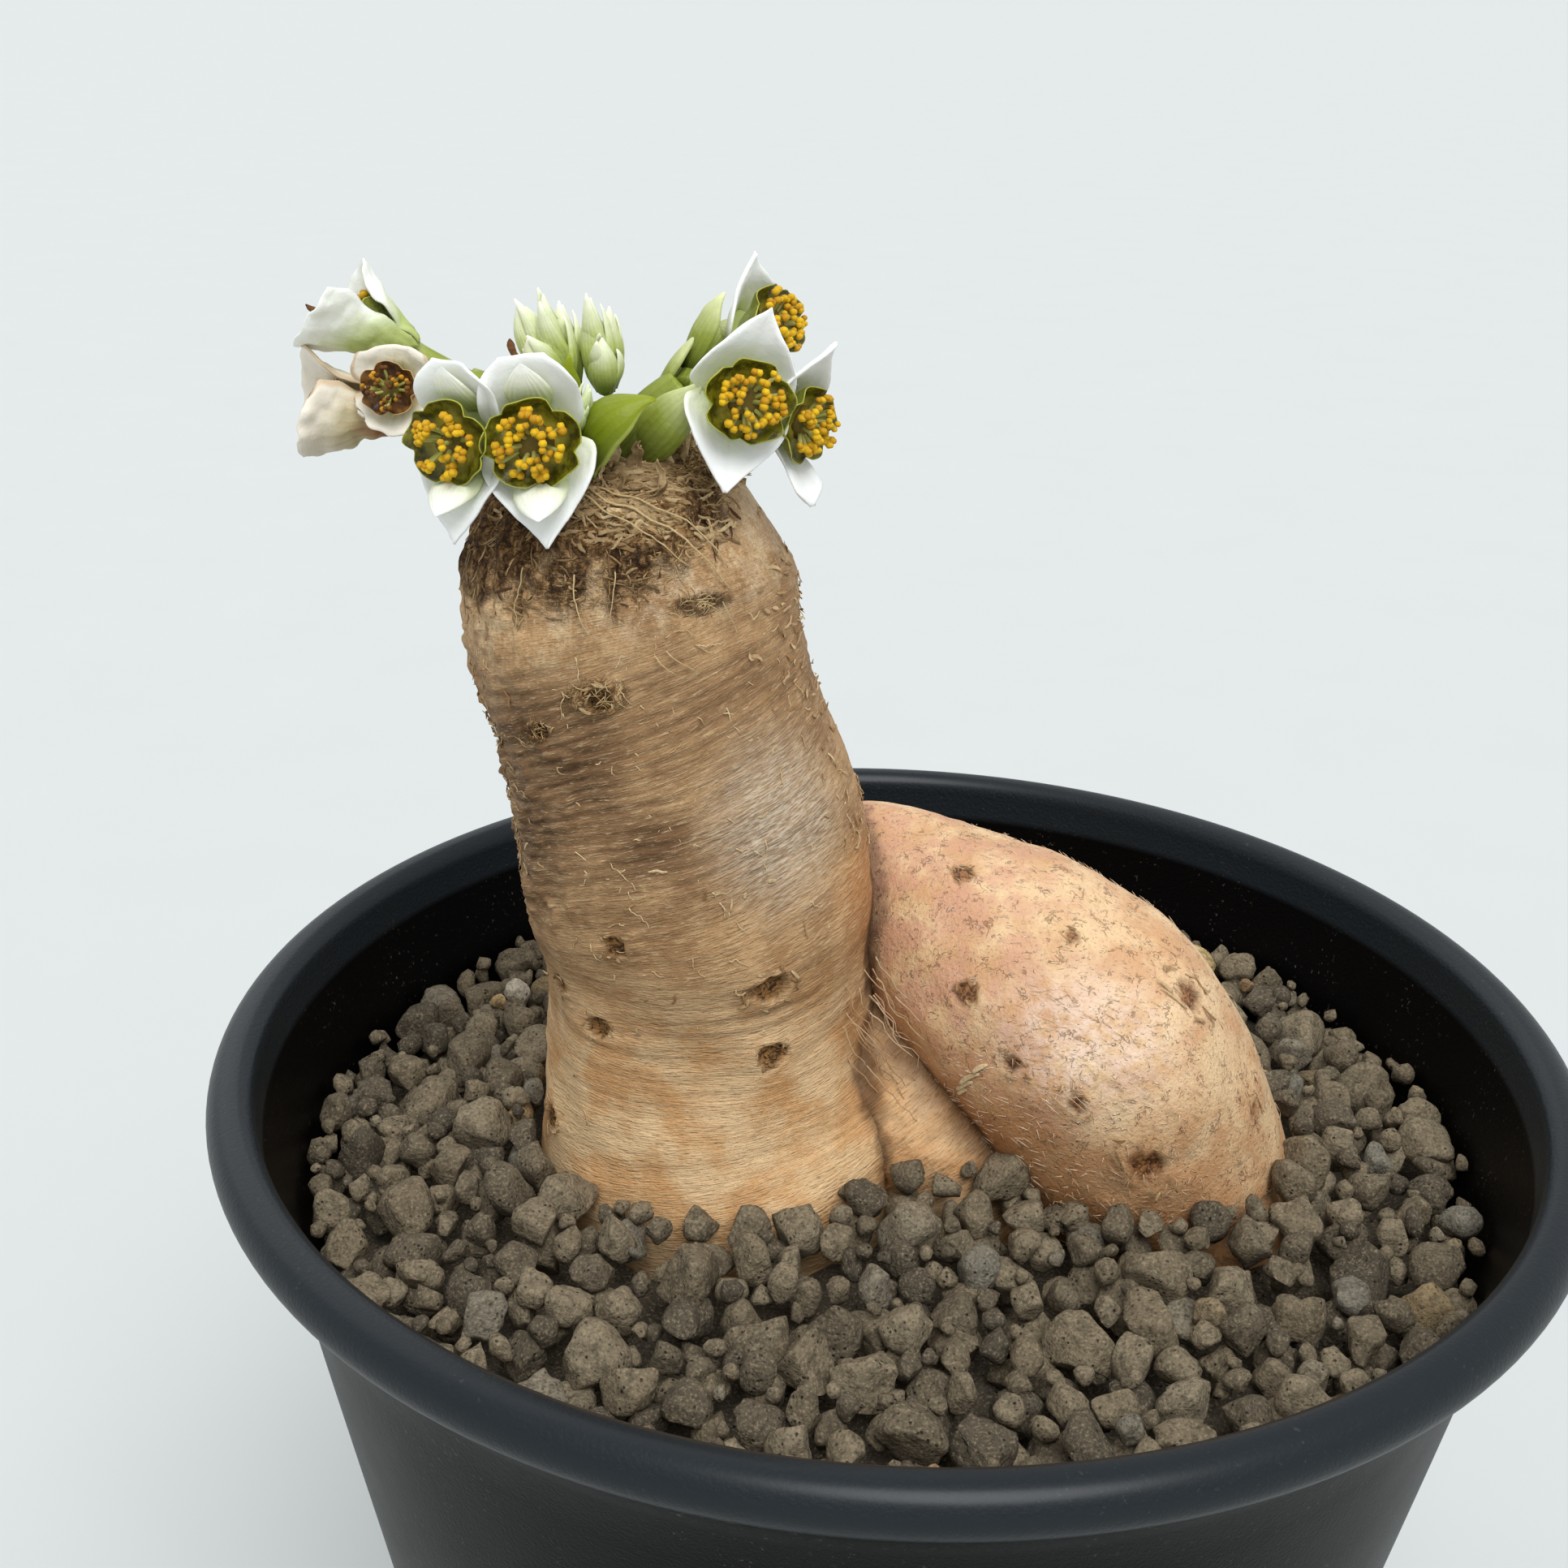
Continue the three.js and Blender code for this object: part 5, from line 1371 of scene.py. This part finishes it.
def add_bract(piece, place, side, shape, outline, wave, wraps):
    middle = bract_sheet(place, side, shape, outline, wave, wraps)
    rows, columns = middle.shape[:2]
    u, v = np.repeat(np.linspace(0, 1, rows), columns), np.tile(np.linspace(-1, 1, columns), rows)
    shade = np.clip(u * (1.15 if wraps else 1.6) + 0.3 * np.abs(v) - 0.02, 0, 1)
    middle = crinkle(crinkle(middle, 0.08, 1.6, 97), 0.2 if wraps else 0.03, 0.9, 98)
    piece.add(blade(middle, 0.38), along=np.tile(shade, 2), across=np.tile(v, 2))


def add_axil_bud(piece, place, side, knots):
    t = np.linspace(0, 1, 22)
    turn = 2 * np.pi * np.arange(20) / 20
    out, ahead, wide, deep = (along(knots, t)[:, k:k + 1] for k in range(4))
    x, y = wide * np.cos(turn), out + deep * np.sin(turn) + 0.35 * np.abs(np.cos(turn)) ** 3 * deep
    points, faces = skin(place(side * x, side * y, ahead + 0 * x))
    shade = np.repeat(0.9 * t, 20)
    across = np.append(np.tile(np.cos(turn), 22), (0, 0))
    piece.add((points, faces), along=np.append(shade, (0, 0.9)), across=across)


def rings(place, profile, sides):
    """Rings of points round a bloom's middle, from a profile of [radius, ahead]"""
    turn = 2 * np.pi * np.arange(sides) / sides
    return np.stack([place(r * np.cos(turn), r * np.sin(turn), z) for r, z in profile])


def add_cup(piece, place, seed, slim):
    """The cup and its five glands, that spread into a wavy bowl"""
    turn = 2 * np.pi * np.arange(CUP_SIDES) / CUP_SIDES
    t = np.linspace(0, 1, 34)
    radius, z, share = (along(CUP_PROFILE, t)[:, k:k + 1] for k in range(3))
    notch = np.minimum(np.abs(np.sin(2.5 * (turn + 0.3))) * 1.8, 1)
    wave = share * (0.2 * np.sin(5 * turn + seed) + 0.13 * np.sin(8 * turn + 2 * seed) + 0.14 * notch)
    r = slim * radius * (1 + share * (0.17 * notch - 0.1 + 0.03 * np.sin(7 * turn + seed)))
    rows = place(1.06 * r * np.cos(turn), 0.94 * r * np.sin(turn), z + wave)
    piece.add(skin(rows), along=np.append(np.repeat(t, CUP_SIDES), (0, 1)))


def add_stamens(piece, place, bloom, draw):
    """A brown middle, and stalks that each carry a pair of pollen knobs"""
    piece.add(skin(crinkle(rings(place, STAMEN_FOOT, 16), 0.12, 0.5, 100)), own=0.3, head=-1)
    knob, faces = BALLS[2]
    tint = 3 if bloom.get("faded") else 1
    for k in range(bloom["stamens"]):
        turn = 2.4 * k + draw.normal(0, 0.3)
        spread = 2.15 * bloom.get("slim", 1) * math.sqrt((k + 0.3) / bloom["stamens"])
        reach = 0.45 + spread + draw.normal(0, 0.14)
        c, s = math.cos(turn), math.sin(turn)
        foot = np.array([0.45 * reach * c, 0.45 * reach * s, 4.1])
        head = np.array([reach * c, reach * s, 5.9 - 0.32 * reach + draw.normal(0, 0.22)])
        path = along([foot, 0.5 * (foot + head) + (0.15 * c, 0.15 * s, 0.1), head], np.linspace(0, 1, 6))
        piece.add(thread(place(*path.T), 0.19 * bloom["size"], 6), own=draw.uniform(0, 1), head=0)
        for lobe in (-1, 1):
            off = np.array([-s, c, 0]) * 0.22 * lobe + draw.normal(0, 0.04, 3)
            blob = knob * KNOB * draw.uniform(0.85, 1.2)
            blob = blob * (1 + 0.15 * noise(blob, 0.2, 7)[:, None]) + head + off
            piece.add((place(*blob.T), faces), own=draw.uniform() ** tint, head=1)


def make_bloom(number, bloom, petal_paint, cup_paint, knob_paint):
    place = bloom_place(bloom)
    wraps = bloom.get("wraps", False)
    petal_slot = "faded_bract" if bloom.get("faded") else "bract"
    petals = Piece(f"petals_{number}", petal_paint, [f"bloom_{number}_bracts"], petal_slot)
    add_bract(petals, place, 1, bloom["upper"], bloom.get("upper_outline", HEART), number, wraps)
    add_bract(petals, place, -1, bloom["lower"], bloom.get("lower_outline", HEART), number + 2, wraps)
    petals.add(skin(rings(place, COLLAR, 24)), along=0.1, across=0)
    if bloom.get("budded"):
        add_axil_bud(petals, place, 1, UPPER_AXIL_BUD)
        add_axil_bud(petals, place, -1, LOWER_AXIL_BUD)
    petals.make()
    cup = Piece(f"gland_cup_{number}", cup_paint, [f"bloom_{number}_cup"], "gland_disc")
    add_cup(cup, place, number, bloom.get("slim", 1))
    cup.make()
    tuft = Piece(f"stamen_tuft_{number}", knob_paint, [f"bloom_{number}_stamens"], "stamens")
    add_stamens(tuft, place, bloom, np.random.default_rng(200 + number))
    tuft.make()


def make_blooms():
    white = paint_living("white_bract", "#b9c56c", "#eef0dc", "#f4f5f2", 0.5, 0.1)
    green = paint_living("green_funnel", "#9dab52", "#bac780", "#f2f3ea", 0.5, 0.3)
    faded = paint_living("faded_bract", "#9b6640", "#cdbf94", "#ece3d4", 0.6, 0.4, "#cdb08e")
    gland = paint_gland("olive_gland", "#3d3a04", "#716d12", "#9c9030", "#a3a737")
    dried = paint_gland("dried_gland", "#3d2410", "#7a5226", "#5f3a18", "#c2a06e")
    fresh = paint_anther("pollen_knobs", "#b9860d", "#e2b918")
    spent = paint_anther("spent_knobs", "#5a3110", "#d59a1c")
    for number, bloom in BLOOMS.items():
        if bloom.get("faded"):
            make_bloom(number, bloom, faded, dried, spent)
        else:
            make_bloom(number, bloom, green if bloom.get("wraps") else white, gland, fresh)


# The studio

# The lamps, as [name, where the light comes from, strength, softness in degrees]
LAMPS = [("key light", (0.2, -0.6, 1.0), 2.27, 38), ("back light", (-0.6, 0.7, 0.9), 0.5, 60)]
FLOOR_REACH_METRES = 60
SKY_COLOUR = (0.95, 0.98, 1.0, 1.0)
SKY_STRENGTH = 0.72


def make_floor():
    reach = FLOOR_REACH_METRES
    corners = [(-reach, -reach, 0), (reach, -reach, 0), (reach, reach, 0), (-reach, reach, 0)]
    mesh = bpy.data.meshes.new("studio_floor")
    mesh.from_pydata(corners, [], [(0, 1, 2, 3)])
    floor = bpy.data.objects.new("studio_floor", mesh)
    bpy.context.scene.collection.objects.link(floor)
    paper = Paint("studio_paper", Roughness=0.9, Specular_IOR_Level=0.1)
    paper.finish(Base_Color=paper.mix(paper.grain(40, 2), "#c3c7c6", "#c6cac9"))
    mesh.materials.append(paper.material)


def light_studio():
    scene = bpy.context.scene
    world = bpy.data.worlds.new("studio")
    world.use_nodes = True
    background = world.node_tree.nodes["Background"]
    background.inputs["Color"].default_value = SKY_COLOUR
    background.inputs["Strength"].default_value = SKY_STRENGTH
    scene.world = world
    for name, at, strength, softness in LAMPS:
        light = bpy.data.lights.new(name, "SUN")
        light.energy, light.angle = strength, math.radians(softness)
        lamp = bpy.data.objects.new(name, light)
        scene.collection.objects.link(lamp)
        ahead = -unit(at)
        right = unit(np.cross(ahead, UPWARD))
        lamp.matrix_world = turned(right, np.cross(right, ahead), -ahead, at)
    scene.view_settings.view_transform = "Standard"


def turned(right, up, back, at):
    """A matrix from three directions and a place"""
    axes = np.stack([right, up, back], -1)
    return Matrix([(*row, place) for row, place in zip(axes, at)] + [(0, 0, 0, 1)])


def make_camera():
    yaw, pitch, roll = (math.radians(a) for a in CAMERA_TURN)
    ahead = np.array([math.sin(yaw) * math.cos(pitch), math.cos(yaw) * math.cos(pitch), -math.sin(pitch)])
    level = np.array([math.cos(yaw), -math.sin(yaw), 0])
    above = np.cross(level, ahead)
    right = level * math.cos(roll) + above * math.sin(roll)
    up = above * math.cos(roll) - level * math.sin(roll)
    lens = bpy.data.cameras.new("camera")
    lens.sensor_width = SENSOR_WIDTH
    lens.lens = LENS_PER_WIDTH * SENSOR_WIDTH
    lens.clip_start = 0.01
    camera = bpy.data.objects.new("camera", lens)
    bpy.context.scene.collection.objects.link(camera)
    camera.matrix_world = turned(right, up, -ahead, np.array(CAMERA_AT) * MM)
    bpy.context.scene.camera = camera


make_camera()
make_floor()
light_studio()
make_pot()
make_gravel()
column_bark = paint_column()
make_column(column_bark)
make_web(column_bark)
make_tuber()
make_crown()
make_flakes()
make_hairs()
make_stems()
make_leaves()
make_bud_clusters()
make_dried_tips()
make_blooms()
